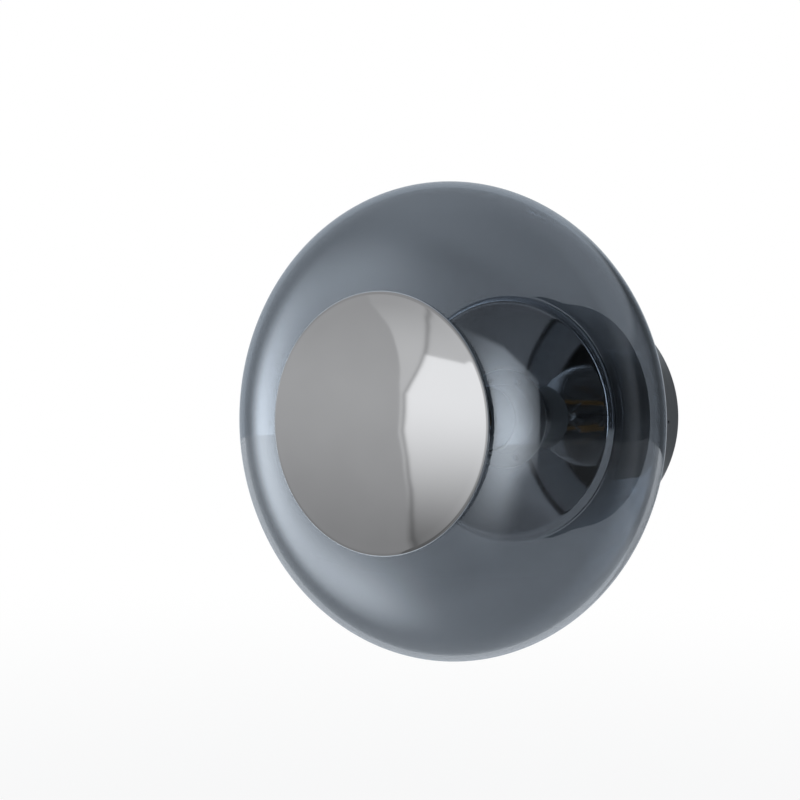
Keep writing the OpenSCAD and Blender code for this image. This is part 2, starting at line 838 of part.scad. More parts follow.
// Outline of the bulb's glass, at its outer face or a wall inside it
function bulb_line(inset) =
    let (r = bulb_r - inset, neck_r = bulb_neck_r - inset,
         shoulder = [0, bulb_mid] + r * [cos(bulb_shoulder_angle), sin(bulb_shoulder_angle)],
         neck = [neck_r, cap_front - cap_cone_h],
         curve = [neck, neck + [0, bulb_neck_share * bulb_r],
             shoulder + bulb_shoulder_share * bulb_r * [sin(bulb_shoulder_angle), -cos(bulb_shoulder_angle)],
             shoulder])
    concat(bez_line(curve, 0, curve_steps / 2),
        arc([0, bulb_mid], r, bulb_shoulder_angle, 90, curve_steps));

module bulb_glass() {
    color("white", 0.3) turned() polygon(concat(bulb_line(0), backwards(bulb_line(bulb_wall))));
}

module bulb_stem() {
    back = cap_front - cap_cone_h;
    foot = back + stem_foot_h;
    neck = back + stem_neck_h;
    color("white", 0.4) turned()
        polygon([[0, back], [stem_foot_r, back], [stem_neck_r, foot], [stem_rod_r, neck],
            [stem_rod_r, stem_top], [0, stem_top]]);
}

// Ends of one filament, in the plane of its radius
function filament_end(share) =
    [filament_back_r + share * (filament_front_r - filament_back_r), 0,
     filament_back + share * filament_len];

module bulb_filaments() {
    low = filament_end(0);
    high = filament_end(1);
    lean = atan2(high[0] - low[0], high[2] - low[2]);
    color("orange") from_wall() round_axis(filament_count, 45)
        translate(low) rotate([0, lean, 0]) cylinder(h = norm(high - low), d = filament_d);
}

// A straight wire between two points of one radial plane
module wire(a, b) {
    translate(a) rotate([0, atan2(b[0] - a[0], b[2] - a[2]), 0])
        cylinder(h = norm(b - a), r = bulb_lead_r, $fn = 16);
}

module bulb_leads() {
    hub_front = filament_end(1)[2];
    foot = [stem_rod_r + 2 * hold_gap, 0, filament_back - filament_d];
    off = [0, 0, bulb_lead_r + 2 * hold_gap];
    color("silver") from_wall() {
        round_axis(filament_count, 45) {
            wire(foot, filament_end(0) - off);
            wire([0, 0, hub_front + hub_h / 2], filament_end(1) + off);
        }
        translate([0, 0, stem_top]) cylinder(h = hub_front - stem_top, r = bulb_lead_r, $fn = 16);
        translate([0, 0, hub_front]) cylinder(h = hub_h, r = hub_r);
    }
}

module keeper_ring() {
    wing_back = bond_face_z(front_hole_r) - bond_t - keeper_t;
    color("silver") turned() {
        ring(keeper_r, keeper_r - keeper_t, keeper_back, keeper_front);
        ring(keeper_r, keeper_in_r, keeper_back, keeper_back + keeper_t);
        ring(keeper_r + keeper_wing_w, keeper_r - keeper_t, wing_back, wing_back + keeper_t);
    }
}

module ring_bond() {
    back = bond_face_z(front_hole_r) - bond_t;
    far_r = keeper_r + keeper_wing_w - bond_margin;
    color("gainsboro") turned()
        polygon([[front_hole_r, back], [far_r, back], [far_r, bond_face_z(far_r)],
            [front_hole_r, bond_face_z(front_hole_r)]]);
}

// Places of the magnets round the carrier
module magnet_places() {
    round_axis(magnet_count, 90) translate([carrier_ring_r - carrier_ring_w / 2, 0, 0]) children();
}

module magnet_carrier() {
    color("dimgray") from_wall() difference() {
        rotate_extrude()
            ring(carrier_ring_r, carrier_ring_r - carrier_ring_w, carrier_ring_back, disc_back);
        magnet_places() translate([0, 0, carrier_ring_back - over])
            cylinder(h = magnet_back + magnet_len - carrier_ring_back + over,
                r = magnet_d / 2 + hold_gap);
    }
}

module disc_magnets() {
    color("silver") from_wall() magnet_places() translate([0, 0, magnet_back])
        cylinder(h = magnet_len, d = magnet_d);
}

module disc_cushion() {
    color("gainsboro") turned()
        ring(front_hole_r + cushion_inset + cushion_w, front_hole_r + cushion_inset,
            disc_back - cushion_t, disc_back);
}

module front_disc() {
    front = disc_back + disc_t;
    color("silver") turned() {
        ring(disc_r, 0, disc_back, front - disc_edge_r);
        ring(disc_r - disc_edge_r, 0, disc_back, front);
        intersection() {
            translate([disc_r - disc_edge_r, front - disc_edge_r]) circle(r = disc_edge_r);
            ring(disc_r, 0, disc_back, front);
        }
    }
}

wall_bracket();
cable_grommet();
terminal_block();
terminal_inserts();
terminal_screws();
block_screws();
earth_screws();
earth_washers();
earth_tags();
live_lead();
neutral_lead();
earth_lead();
drum_sleeve();
drum_screws();
bridge();
bridge_screws();
threaded_tube();
tube_nuts();
mirror_plate();
rear_seal();
front_seal();
glass_shade();
lampholder_cover();
cover_screws();
lampholder_base();
contact_carrier();
centre_contact();
screw_shell();
lampholder_skirt();
bulb_contact();
bulb_insulator();
bulb_cap();
bulb_stem();
bulb_leads();
bulb_filaments();
bulb_glass();
keeper_ring();
ring_bond();
magnet_carrier();
disc_magnets();
disc_cushion();
front_disc();
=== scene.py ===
"""Globe wall sconce: the looks of the lamp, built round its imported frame.

The frame is in metres, with the wall at Y = 0, the lamp pointing along -Y and +Z up. The pieces
here are drawn in the lamp's own space, in millimetres: x to the right, y up and z out of the wall.
"""

import math

import bmesh
import bpy
from mathutils import Matrix, Vector, noise


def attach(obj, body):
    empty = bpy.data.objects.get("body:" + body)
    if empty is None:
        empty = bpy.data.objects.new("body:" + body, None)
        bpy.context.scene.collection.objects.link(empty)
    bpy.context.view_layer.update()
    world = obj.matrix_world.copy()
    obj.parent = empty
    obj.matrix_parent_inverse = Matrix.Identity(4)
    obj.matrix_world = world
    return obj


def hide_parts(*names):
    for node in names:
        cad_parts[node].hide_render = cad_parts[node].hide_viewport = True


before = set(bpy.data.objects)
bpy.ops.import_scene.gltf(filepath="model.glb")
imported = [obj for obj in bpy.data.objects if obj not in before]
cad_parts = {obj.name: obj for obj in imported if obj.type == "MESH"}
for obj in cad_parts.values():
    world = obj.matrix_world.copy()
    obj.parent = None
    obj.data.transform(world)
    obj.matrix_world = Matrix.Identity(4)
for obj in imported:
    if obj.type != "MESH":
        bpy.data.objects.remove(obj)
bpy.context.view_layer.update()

bl_info = {
    "name": "Globe wall sconce",
    "version": (1, 0, 0),
    "blender": (4, 5, 0),
    "location": "3D View > Sidebar > Sconce",
    "description": "Glass, metal and studio of a globe wall sconce",
    "category": "Object",
}

MM = 0.001
# From the lamp's space in mm to the frame in m
LAMP = Matrix(((MM, 0, 0, 0), (0, 0, -MM, 0), (0, MM, 0, 0), (0, 0, 0, 1)))

# Shape of the lamp, in mm: radii, and distances from the wall
GAP, PASS_GAP = 0.05, 0.3
DRUM_R, DRUM_LEN, DRUM_WALL, DRUM_EDGE_R, DRUM_MOUTH_R = 80.0, 87.5, 1.2, 1.5, 71.0
DRUM_EDGE = 0.3
SEAL_T, SEAL_IN_R, REAR_SEAL_R = 0.5, 73.0, 78.5
LIP_BACK, LIP_FRONT, LIP_R, LIP_CORNER_R = DRUM_LEN + SEAL_T, 92.0, 72.0, 80.6
PLATE_BACK = LIP_FRONT + SEAL_T
PLATE_MID, PLATE_WALL, PLATE_EDGE_R, DISH_R = PLATE_BACK + 1.0, 1.5, 4.0, 964.2
SHADE_R, SHADE_MID, SHADE_WALL = 145.0, 170.5, 3.5
SHADE_RIM, SHADE_SEAT = (66.0, 232.5), (81.9, LIP_BACK)
DISC_BACK, DISC_R, DISC_T = 233.3, 76.0, 2.0
TUBE_R, TUBE_BORE_R, TUBE_BACK = 5.0, 4.0, 34.0
NUT_H, NUT_D = 4.0, 16.0
NUT_SEAT = PLATE_MID + DISH_R - math.sqrt(DISH_R**2 - (NUT_D / 2) ** 2) + 0.02
BASE_BACK, BASE_R = NUT_SEAT + NUT_H, 17.2
TUBE_FRONT = BASE_BACK + 5.5
CARRIER_BACK = TUBE_FRONT + 4.0
CARRIER_FRONT = CARRIER_BACK + 3.0
TAIL = CARRIER_BACK - 1.4
CONTACT = CARRIER_FRONT + 1.5
SHELL_R, SHELL_WALL, SHELL_FRONT = 13.8, 0.5, CARRIER_FRONT + 23.0
CAP_R, CAP_FRONT, THREAD_PITCH, THREAD_DEEP = 13.1, CONTACT + 27.0, 3.6, 0.4
NECK = CAP_FRONT - 2.5
BULB_R, BULB_MID = 30.0, CAP_FRONT + 48.0
STEM_TOP = CAP_FRONT + 31.0
KEEPER_BACK, KEEPER_FRONT, KEEPER_R, KEEPER_T = 224.0, 232.2, 65.2, 1.4


# Shapes


def arc(mid, r, start, end, steps=8):
    """Points of a circular arc about mid, from one angle in degrees to another."""
    turns = [math.radians(start + (end - start) * k / steps) for k in range(steps + 1)]
    return [(mid[0] + r * math.cos(a), mid[1] + r * math.sin(a)) for a in turns]


# Points that each rounded corner of an outline gets
BEND_POINTS = 5


def rounded(corners, r):
    """The outline through corners with each of them rounded to r, or less where a side is short."""
    points = []
    count = len(corners)
    for k, corner in enumerate(corners):
        here = Vector(corner)
        back, ahead = Vector(corners[k - 1]) - here, Vector(corners[(k + 1) % count]) - here
        if here.x < 1e-6:
            points.append(tuple(here))
            continue
        cut = min(r, 0.45 * back.length, 0.45 * ahead.length)
        a, b = here + back.normalized() * cut, here + ahead.normalized() * cut
        for i in range(BEND_POINTS):
            t = i / (BEND_POINTS - 1)
            p = a * (1 - t) ** 2 + here * (2 * t * (1 - t)) + b * t * t
            points.append(tuple(p))
    return points


def rod(r, low, high, bore=0.0):
    """The outline of a cylinder or, with a bore, of a ring."""
    return [(bore, low), (r, low), (r, high), (bore, high)]


def bezier(p, steps, side=0.0):
    """Points of a four-point curve, moved sideways to its right by side."""
    p = [Vector(q) for q in p]
    points = []
    for k in range(steps + 1):
        t = k / steps
        here = p[0] * (1 - t) ** 3 + p[1] * 3 * (1 - t) ** 2 * t + p[2] * 3 * (1 - t) * t * t
        here = here + p[3] * t**3
        along = (p[1] - p[0]) * (1 - t) ** 2 + (p[2] - p[1]) * 2 * (1 - t) * t
        along = along + (p[3] - p[2]) * t * t
        along.normalize()
        if len(here) == 2:
            here = here + side * Vector((along.y, -along.x))
        points.append(tuple(here))
    return points


def dish(r):
    """Height of the mirror plate's face at a radius."""
    return PLATE_MID + DISH_R - math.sqrt(DISH_R * DISH_R - r * r)


def turn(angle, axis):
    """A turn about an axis, in degrees."""
    return Matrix.Rotation(math.radians(angle), 4, axis)


def move(x=0.0, y=0.0, z=0.0):
    """A shift."""
    return Matrix.Translation((x, y, z))


class Shape:
    """The mesh of one piece, drawn in the lamp's space."""

    def __init__(self):
        self.mesh = bmesh.new()
        self.cuts = []

    def lathe(self, outline, segments=96, place=None, warp=None, face=0):
        """A solid of revolution about z, from a closed outline of (radius, height) points."""
        place = place or Matrix()
        rings = []
        for r, z in outline:
            if r < 1e-6:
                rings.append([self.mesh.verts.new(place @ Vector((0, 0, z)))] * segments)
                continue
            ring = []
            for k in range(segments):
                a = 2 * math.pi * k / segments
                rr, zz = warp(r, z, a) if warp else (r, z)
                ring.append(self.mesh.verts.new(place @ Vector((rr * math.cos(a), rr * math.sin(a), zz))))
            rings.append(ring)
        for here, there in zip(rings, rings[1:] + rings[:1]):
            for k in range(segments):
                corners = list(dict.fromkeys((here[k], there[k], there[k - 1], here[k - 1])))
                if len(corners) > 2:
                    self.mesh.faces.new(corners).material_index = face
        return self

    def block(self, low, high, place=None):
        """A box between two corners."""
        made = bmesh.ops.create_cube(self.mesh, size=1.0)["verts"]
        low, high = Vector(low), Vector(high)
        size = high - low
        fit = (place or Matrix()) @ Matrix.Translation((low + high) / 2) @ Matrix.Diagonal((*size, 1))
        bmesh.ops.transform(self.mesh, matrix=fit, verts=made)
        return self

    def sweep(self, path, r, sides=12, aside=(1, 0, 0), faces=None):
        """A round rod along a path, with faces giving each side's material."""
        path = [Vector(p) for p in path]
        rings = []
        for k, here in enumerate(path):
            along = (path[min(k + 1, len(path) - 1)] - path[max(k - 1, 0)]).normalized()
            u = Vector(aside).cross(along).normalized()
            v = along.cross(u)
            rings.append([
                self.mesh.verts.new(here + r * (u * math.cos(a) + v * math.sin(a)))
                for a in (2 * math.pi * i / sides for i in range(sides))
            ])
        for here, there in zip(rings, rings[1:]):
            for i in range(sides):
                j = (i + 1) % sides
                made = self.mesh.faces.new((here[i], here[j], there[j], there[i]))
                made.material_index = faces[i] if faces else 0
        self.mesh.faces.new(rings[0])
        self.mesh.faces.new(rings[-1])
        return self

    def cut(self, other):
        """Another shape is taken out of this one."""
        self.cuts.append(other)
        return self

    def data(self, name):
        bmesh.ops.recalc_face_normals(self.mesh, faces=self.mesh.faces)
        self.mesh.transform(LAMP)
        data = bpy.data.meshes.new(name)
        self.mesh.to_mesh(data)
        self.mesh.free()
        return data

    def piece(self, name, body, slot, *finishes, sharp=32.0, bevel=None):
        """Makes the object, which rides on a body and stands for the CAD node of its name.

        It gets the finishes named, or else the one that is named as its slot.
        """
        obj = bpy.data.objects.new(name, self.data(name))
        bpy.context.scene.collection.objects.link(obj)
        for other in self.cuts:
            tool = bpy.data.objects.new("cut", other.data("cut"))
            bpy.context.scene.collection.objects.link(tool)
            step = obj.modifiers.new("cut", "BOOLEAN")
            step.operation, step.solver, step.object = "DIFFERENCE", "EXACT", tool
            graph = bpy.context.evaluated_depsgraph_get()
            cut_mesh = bpy.data.meshes.new_from_object(obj.evaluated_get(graph))
            obj.modifiers.clear()
            obj.data = cut_mesh
            bpy.data.objects.remove(tool)
        obj.data.name = name
        for face in obj.data.polygons:
            face.use_smooth = True
        obj.data.set_sharp_from_angle(angle=math.radians(sharp))
        obj.data.materials.clear()
        for finish in finishes or (slot,):
            obj.data.materials.append(FINISHES[finish])
        if bevel:
            soften(obj, bevel)
        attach(obj, body)
        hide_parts(name)
        return obj


def soften(obj, width, segments=2):
    """Breaks the sharp edges of a piece, width in mm."""
    step = obj.modifiers.new("broken_edges", "BEVEL")
    step.width, step.segments = width * MM, segments
    step.limit_method, step.angle_limit = "ANGLE", math.radians(40)
    step.harden_normals = True
    step.use_clamp_overlap = True


def carry(node, finish, bevel=None):
    """Keeps a CAD node as it is, with a finish and broken edges."""
    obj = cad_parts[node]
    obj.data.materials.clear()
    obj.data.materials.append(FINISHES[finish])
    for face in obj.data.polygons:
        face.material_index = 0
    if bevel:
        soften(obj, bevel)


# Finishes


# Sockets of a Mix node that hold its two colours and what comes out
MIX_A, MIX_B, MIX_RESULT = 6, 7, 2


class Value:
    """A socket that numbers and other sockets can be reckoned with."""

    def __init__(self, nodes, socket):
        self.nodes, self.socket = nodes, socket

    def sum(self, operation, *inputs):
        return self.nodes.node("ShaderNodeMath", {"operation": operation}, *inputs).out()

    def __add__(self, other):
        return self.sum("ADD", self, other)

    def __sub__(self, other):
        return self.sum("SUBTRACT", self, other)

    def __rsub__(self, other):
        return self.sum("SUBTRACT", other, self)

    def __mul__(self, other):
        return self.sum("MULTIPLY", self, other)

    def __truediv__(self, other):
        return self.sum("DIVIDE", self, other)

    def __rtruediv__(self, other):
        return self.sum("DIVIDE", other, self)

    def __lt__(self, other):
        return self.sum("LESS_THAN", self, other)

    def __neg__(self):
        return self.sum("MULTIPLY", self, -1.0)

    __radd__, __rmul__ = __add__, __mul__

    def shaped(self, operation):
        return self.sum(operation, self)

    def most(self, other):
        return self.sum("MAXIMUM", self, other)

    def ramp(self, start, end, low=0.0, high=1.0):
        """From low to high, smoothly, as this value goes from start to end."""
        kind = {"interpolation_type": "SMOOTHSTEP"}
        return self.nodes.node("ShaderNodeMapRange", kind, self, start, end, low, high).out()

    def fade(self, middle, spread):
        """1 at the middle, fading away on both sides of it."""
        off = (self - middle) / spread
        return (-(off * off)).shaped("EXPONENT")


class Step:
    """A node, and what comes out of it."""

    def __init__(self, nodes, node):
        self.nodes, self.node = nodes, node

    def out(self, name=0):
        return Value(self.nodes, self.node.outputs[name])


class Nodes:
    """Makes the nodes of one tree."""

    def __init__(self, tree):
        self.tree = tree

    def feed(self, node, sockets):
        for name, value in sockets.items():
            slot = node.inputs[name.replace("_", " ") if isinstance(name, str) else name]
            if isinstance(value, Value):
                self.tree.links.new(value.socket, slot)
            elif isinstance(value, tuple) and len(value) == 3 and slot.type == "RGBA":
                slot.default_value = (*value, 1.0)
            else:
                slot.default_value = value

    def node(self, kind, settings=None, *inputs, **sockets):
        """A node of a type, with its settings made first and then its sockets fed."""
        made = self.tree.nodes.new(kind)
        for key, value in (settings or {}).items():
            setattr(made, key, value)
        self.feed(made, dict(enumerate(inputs)))
        self.feed(made, sockets)
        return Step(self, made)

    def mixed(self, share, first, second):
        """A colour between two colours."""
        mix = self.node("ShaderNodeMix", {"data_type": "RGBA"}, share)
        self.feed(mix.node, {MIX_A: first, MIX_B: second})
        return mix.out(MIX_RESULT)

    def either(self, share, first, second):
        """A shader between two shaders."""
        return self.node("ShaderNodeMixShader", None, share, first, second).out()


class Finish(Nodes):
    """A material whose nodes are made here."""

    def __init__(self, name, **sockets):
        self.material = bpy.data.materials.new(name)
        self.material.use_nodes = True
        super().__init__(self.material.node_tree)
        self.shader = self.tree.nodes["Principled BSDF"]
        self.feed(self.shader, sockets)

    def place(self, stretch=(1, 1, 1)):
        """Where a point is on the piece, in metres, stretched."""
        at = self.node("ShaderNodeTexCoord").out("Object")
        return self.node("ShaderNodeVectorMath", {"operation": "MULTIPLY"}, at, stretch).out()

    def grain(self, scale, stretch=(1, 1, 1), detail=3.0, rough=0.5):
        """Noise from 0 to 1, whose patches are 1 / scale metres wide."""
        return self.node(
            "ShaderNodeTexNoise", None,
            Vector=self.place(stretch), Scale=scale, Detail=detail, Roughness=rough,
        ).out("Fac")

    def bump(self, height, strength, distance):
        """Relief of a height, distance in metres."""
        normal = self.node("ShaderNodeBump", None, Height=height, Strength=strength, Distance=distance)
        self.feed(self.shader, {"Normal": normal.out("Normal")})

    def show(self, surface):
        """The surface takes the place of the plain shader."""
        self.feed(self.tree.nodes["Material Output"], {"Surface": surface})


def shades(colour, low, high):
    return tuple(c * low for c in colour), tuple(min(c * high, 1.0) for c in colour)


def metal(name, colour, rough, spread=0.04, scale=60.0, stretch=(1, 1, 1), relief=0.02, contrast=0.06):
    """Bare or plated metal with patches of slightly other polish."""
    finish = Finish(name, Metallic=1.0)
    grain = finish.grain(scale, stretch, detail=4.0)
    dark, light = shades(colour, 1 - contrast, 1 + contrast)
    finish.feed(finish.shader, {
        "Base Color": finish.mixed(grain, dark, light),
        "Roughness": grain * spread + (rough - spread / 2),
    })
    if relief:
        finish.bump(grain, relief, 0.0002)
    return finish.material


def brushed(name, colour, rough, stretch):
    """Metal with fine lines along one way."""
    finish = Finish(name, Metallic=1.0)
    lines = finish.grain(1.0, stretch, detail=6.0, rough=0.65)
    cloud = finish.grain(14.0, detail=2.0)
    dark, light = shades(colour, 0.86, 1.08)
    finish.feed(finish.shader, {
        "Base Color": finish.mixed(lines, dark, light),
        "Roughness": lines * 0.14 + cloud * 0.05 + (rough - 0.1),
    })
    finish.bump(lines, 0.12, 0.0001)
    return finish.material


def zinc(name, colour):
    """Zinc plating: crystals of slightly different grey, with fine scratches."""
    finish = Finish(name, Metallic=1.0)
    crystal = finish.node(
        "ShaderNodeTexVoronoi", {"feature": "F1"}, Vector=finish.place(), Scale=420.0
    ).out("Color")
    spangle = finish.node("ShaderNodeSeparateColor", None, crystal).out("Red")
    grain = finish.grain(900.0, detail=3.0)
    dark, light = shades(colour, 0.82, 1.08)
    finish.feed(finish.shader, {
        "Base Color": finish.mixed(spangle * 0.7 + grain * 0.3, dark, light),
        "Roughness": spangle * 0.12 + 0.28,
    })
    finish.bump(grain, 0.08, 0.0001)
    return finish.material


def moulded(name, colour, rough, relief=0.15, scale=1400.0, contrast=0.05, coat=0.0):
    """Plastic, rubber or glazed ware with a fine surface."""
    finish = Finish(name, Coat_Weight=coat) if coat else Finish(name)
    fine = finish.grain(scale, detail=2.0)
    cloud = finish.grain(35.0, detail=3.0)
    dark, light = shades(colour, 1 - contrast, 1 + contrast)
    finish.feed(finish.shader, {
        "Base Color": finish.mixed(cloud, dark, light),
        "Roughness": cloud * 0.1 + fine * 0.06 + (rough - 0.08),
    })
    finish.bump(fine, relief, 0.00006)
    return finish.material


def glass(name, tint, spread, ripple):
    """Glass with faint waves from blowing; soft light passes it to what lies behind."""
    finish = Finish(name, Roughness=0.0, IOR=1.47, Transmission_Weight=1.0)
    cloud = finish.grain(9.0, detail=2.0)
    finish.feed(finish.shader, {"Base Color": finish.mixed(cloud, *shades(tint, 1 - spread, 1 + spread))})
    if ripple:
        finish.bump(finish.grain(7.0, detail=1.0), ripple, 0.004)
    path = finish.node("ShaderNodeLightPath")
    passing = path.out("Is Shadow Ray").most(path.out("Is Diffuse Ray"))
    clear = finish.node("ShaderNodeBsdfTransparent", None, Color=tuple(math.sqrt(c) for c in tint))
    finish.show(finish.either(passing, Value(finish, finish.shader.outputs[0]), clear.out()))
    return finish.material


FINISHES = {}


def make_finishes():
    """All the finishes of the lamp, by name."""
    look = bpy.context.scene.sconce_look
    polish = tuple(look.polish)
    FINISHES.update({
        "smoked_glass": glass("smoked_glass", tuple(look.smoke), 0.015, look.ripple),
        "clear_glass": glass("clear_glass", (0.978, 0.985, 0.98), 0.006, 0.0),
        "polished_disc": metal("polished_disc", polish, 0.02, 0.012, 45.0, relief=0.008, contrast=0.015),
        # Back of the front disc: a dull finish whose near-black colour is painted shade, so that its
        # reflection in the mirror plate comes out dark
        "disc_back": metal("disc_back", (0.07, 0.07, 0.073), 0.42, 0.1, 300.0, contrast=0.12),
        "polished_plate": metal("polished_plate", polish, 0.05, 0.025, 30.0, relief=0.01, contrast=0.02),
        "satin_cover": metal("satin_cover", (0.9, 0.9, 0.89), 0.36, 0.08, 400.0, relief=0.06),
        "satin_steel": brushed("satin_steel", tuple(look.satin), 0.3, (9, 2600, 9)),
        "zinc_steel": zinc("zinc_steel", (0.6, 0.61, 0.63)),
        "screw_steel": metal("screw_steel", (0.33, 0.33, 0.34), 0.35, 0.12, 700.0),
        "brass": metal("brass", (0.78, 0.58, 0.26), 0.3, 0.12, 260.0, contrast=0.1),
        "white_ceramic": moulded("white_ceramic", (0.82, 0.81, 0.77), 0.22, 0.05, 500.0, coat=0.6),
        "white_plastic": moulded("white_plastic", (0.8, 0.8, 0.77), 0.42),
        "dark_plastic": moulded("dark_plastic", (0.055, 0.056, 0.06), 0.5, contrast=0.15),
        "black_insulator": moulded("black_insulator", (0.012, 0.012, 0.014), 0.15, 0.02, contrast=0.2),
        "silicone": moulded("silicone", (0.62, 0.63, 0.62), 0.5, 0.1),
        "adhesive": moulded("adhesive", (0.66, 0.66, 0.63), 0.35, 0.3, 300.0),
        "cap_nickel": metal("cap_nickel", (0.66, 0.64, 0.6), 0.26, 0.12, 240.0, contrast=0.08),
        "filament": moulded("filament", (0.92, 0.45, 0.07), 0.45, 0.3, 900.0, contrast=0.1),
        "lead_brown": moulded("lead_brown", (0.13, 0.05, 0.02), 0.4, 0.05),
        "lead_blue": moulded("lead_blue", (0.02, 0.09, 0.42), 0.4, 0.05),
        "lead_green": moulded("lead_green", (0.03, 0.28, 0.06), 0.4, 0.05),
        "lead_yellow": moulded("lead_yellow", (0.8, 0.62, 0.03), 0.4, 0.05),
    })


# What a user would change


class LookSettings(bpy.types.PropertyGroup):
    """Colours and surface of the glass and the metal."""

    smoke: bpy.props.FloatVectorProperty(
        name="Smoky glass", description="Colour that light takes in one wall of the globe",
        default=(0.31, 0.335, 0.365), subtype="COLOR", min=0.0, max=1.0,
    )
    polish: bpy.props.FloatVectorProperty(
        name="Polished metal", description="Colour of the front disc and the mirror plate",
        default=(0.80, 0.80, 0.805), subtype="COLOR", min=0.0, max=1.0,
    )
    satin: bpy.props.FloatVectorProperty(
        name="Satin metal", description="Colour of the drum's side",
        default=(0.56, 0.555, 0.545), subtype="COLOR", min=0.0, max=1.0,
    )
    ripple: bpy.props.FloatProperty(
        name="Glass ripple", description="Strength of the faint waves in the blown glass",
        default=0.02, min=0.0, max=0.5, subtype="FACTOR",
    )
    disc_wave: bpy.props.FloatProperty(
        name="Disc waviness", description="How far the polished disc is from flat, in mm",
        default=0.03, min=0.0, max=0.2,
    )


class BulbSettings(bpy.types.PropertyGroup):
    """The bulb's filaments."""

    filament_count: bpy.props.IntProperty(
        name="Filaments", description="Number of coated filament strips", default=4, min=2, max=8,
    )
    filament_r: bpy.props.FloatProperty(
        name="Filament radius", description="Radius of a coated strip",
        default=0.0011, min=0.0005, max=0.002, subtype="DISTANCE", unit="LENGTH",
    )


class StudioSettings(bpy.types.PropertyGroup):
    """Floor and lights of the studio."""

    floor_drop: bpy.props.FloatProperty(
        name="Floor drop", description="Distance of the floor under the lamp's axis",
        default=0.6, min=0.2, max=3.0, subtype="DISTANCE", unit="LENGTH",
    )
    glow: bpy.props.FloatProperty(
        name="Soft lights", description="Brightness of the soft lights as glass reflects them",
        default=1.0, min=0.0, max=4.0,
    )
    plain_glow: bpy.props.FloatProperty(
        name="Plain light", description="Brightness of the soft lights for metal and matt surfaces",
        default=0.09, min=0.0, max=1.0,
    )
    left_room: bpy.props.FloatProperty(
        name="Left room", description="Brightness of the room on the left, between the lights",
        default=0.45, min=0.0, max=1.0, subtype="FACTOR",
    )
    right_room: bpy.props.FloatProperty(
        name="Right room", description="Brightness of the room in front and on the right",
        default=0.05, min=0.0, max=1.0, subtype="FACTOR",
    )


# Glass and disc


def shade_curves():
    """The outer curve of the globe, from its front rim to the widest ring and on to its seat."""
    rim, seat = Vector(SHADE_RIM), Vector(SHADE_SEAT)
    wide = Vector((SHADE_R, SHADE_MID))
    front_turn, back_turn = math.radians(8), math.radians(50)
    front = (
        rim,
        rim + 0.33 * SHADE_R * Vector((math.cos(front_turn), -math.sin(front_turn))),
        wide + Vector((0, 0.235 * SHADE_R)),
        wide,
    )
    back = (
        wide,
        wide - Vector((0, 0.224 * SHADE_R)),
        seat + 0.306 * SHADE_R * Vector((math.sin(back_turn), math.cos(back_turn))),
        seat,
    )
    return front, back


class SCONCE_OT_shade(bpy.types.Operator):
    """Smoky blown globe, open in front and behind, with its ground lip"""

    bl_idname = "sconce.shade"
    bl_label = "Glass shade"

    def execute(self, context):
        front, back = shade_curves()
        steps = 44
        outer = bezier(front, steps)[1:] + bezier(back, steps)[1:-1]
        inner = bezier(front, steps, SHADE_WALL) + [
            p for p in bezier(back, steps, SHADE_WALL)[1:] if p[1] > LIP_FRONT + 1.0
        ]
        rim_out, rim_in = Vector(SHADE_RIM), Vector(inner[0])
        mid = (rim_out + rim_in) / 2
        half = (rim_out - rim_in).length / 2
        lean = math.degrees(math.atan2(rim_out.y - rim_in.y, rim_out.x - rim_in.x))
        bead = arc(mid, half, lean + 180, lean, 10)[1:-1]
        bead = [(max(r, KEEPER_R + 0.2), z) for r, z in bead]
        lip = [SHADE_SEAT, (LIP_R, LIP_BACK), (LIP_R, LIP_FRONT), (LIP_CORNER_R, LIP_FRONT)]
        seat = rounded([outer[-1]] + lip + [inner[-1]], 0.5)[BEND_POINTS:-BEND_POINTS]
        outline = [tuple(rim_out)] + outer + seat + inner[::-1] + bead
        Shape().lathe(outline, 256).piece(
            "glass_shade", "lamp", "smoked_glass", sharp=60.0
        )
        return {"FINISHED"}


class SCONCE_OT_front_disc(bpy.types.Operator):
    """Polished disc over the front opening, with its soft ring"""

    bl_idname = "sconce.front_disc"
    bl_label = "Front disc"

    def execute(self, context):
        wave = context.scene.sconce_look.disc_wave

        def warp(r, z, a):
            share = min(r / DISC_R, 1.0) * min((DISC_R - r) / 6.0 + 0.15, 1.0)
            at = Vector((r * math.cos(a), r * math.sin(a), 0)) / 42.0
            return r, z - wave * share * (0.5 + 0.5 * noise.noise(at + Vector((3.1, 7.7, 0))))

        steps, front_edge, back_edge = 48, 0.6, 0.4
        flat, low_flat = DISC_R - front_edge, DISC_R - back_edge
        disc_front = DISC_BACK + DISC_T
        face = [(flat * k / steps, disc_front) for k in range(steps + 1)]
        rim = arc((flat, disc_front - front_edge), front_edge, 90, 0, 6)[1:]
        low = arc((low_flat, DISC_BACK + back_edge), back_edge, 0, -90, 5)
        back = [(low_flat * (1 - k / 12), DISC_BACK) for k in range(1, 13)]
        disc = Shape().lathe(face + rim + low + back, 256, warp=warp).piece(
            "front_disc", "disc", "polished_chrome", "polished_disc", "disc_back"
        )
        # The back faces get the back finish, whose near-black colour is painted shade
        for side in disc.data.polygons:
            if side.normal.y > 0.9:
                side.material_index = 1
        inner, outer, thick = 66.4, 69.4, 0.5
        seat = DISC_BACK - thick
        ring = rounded(rod(outer, seat, DISC_BACK, inner), 0.2)
        Shape().lathe(ring, 160).piece("disc_cushion", "disc", "silicone")
        return {"FINISHED"}


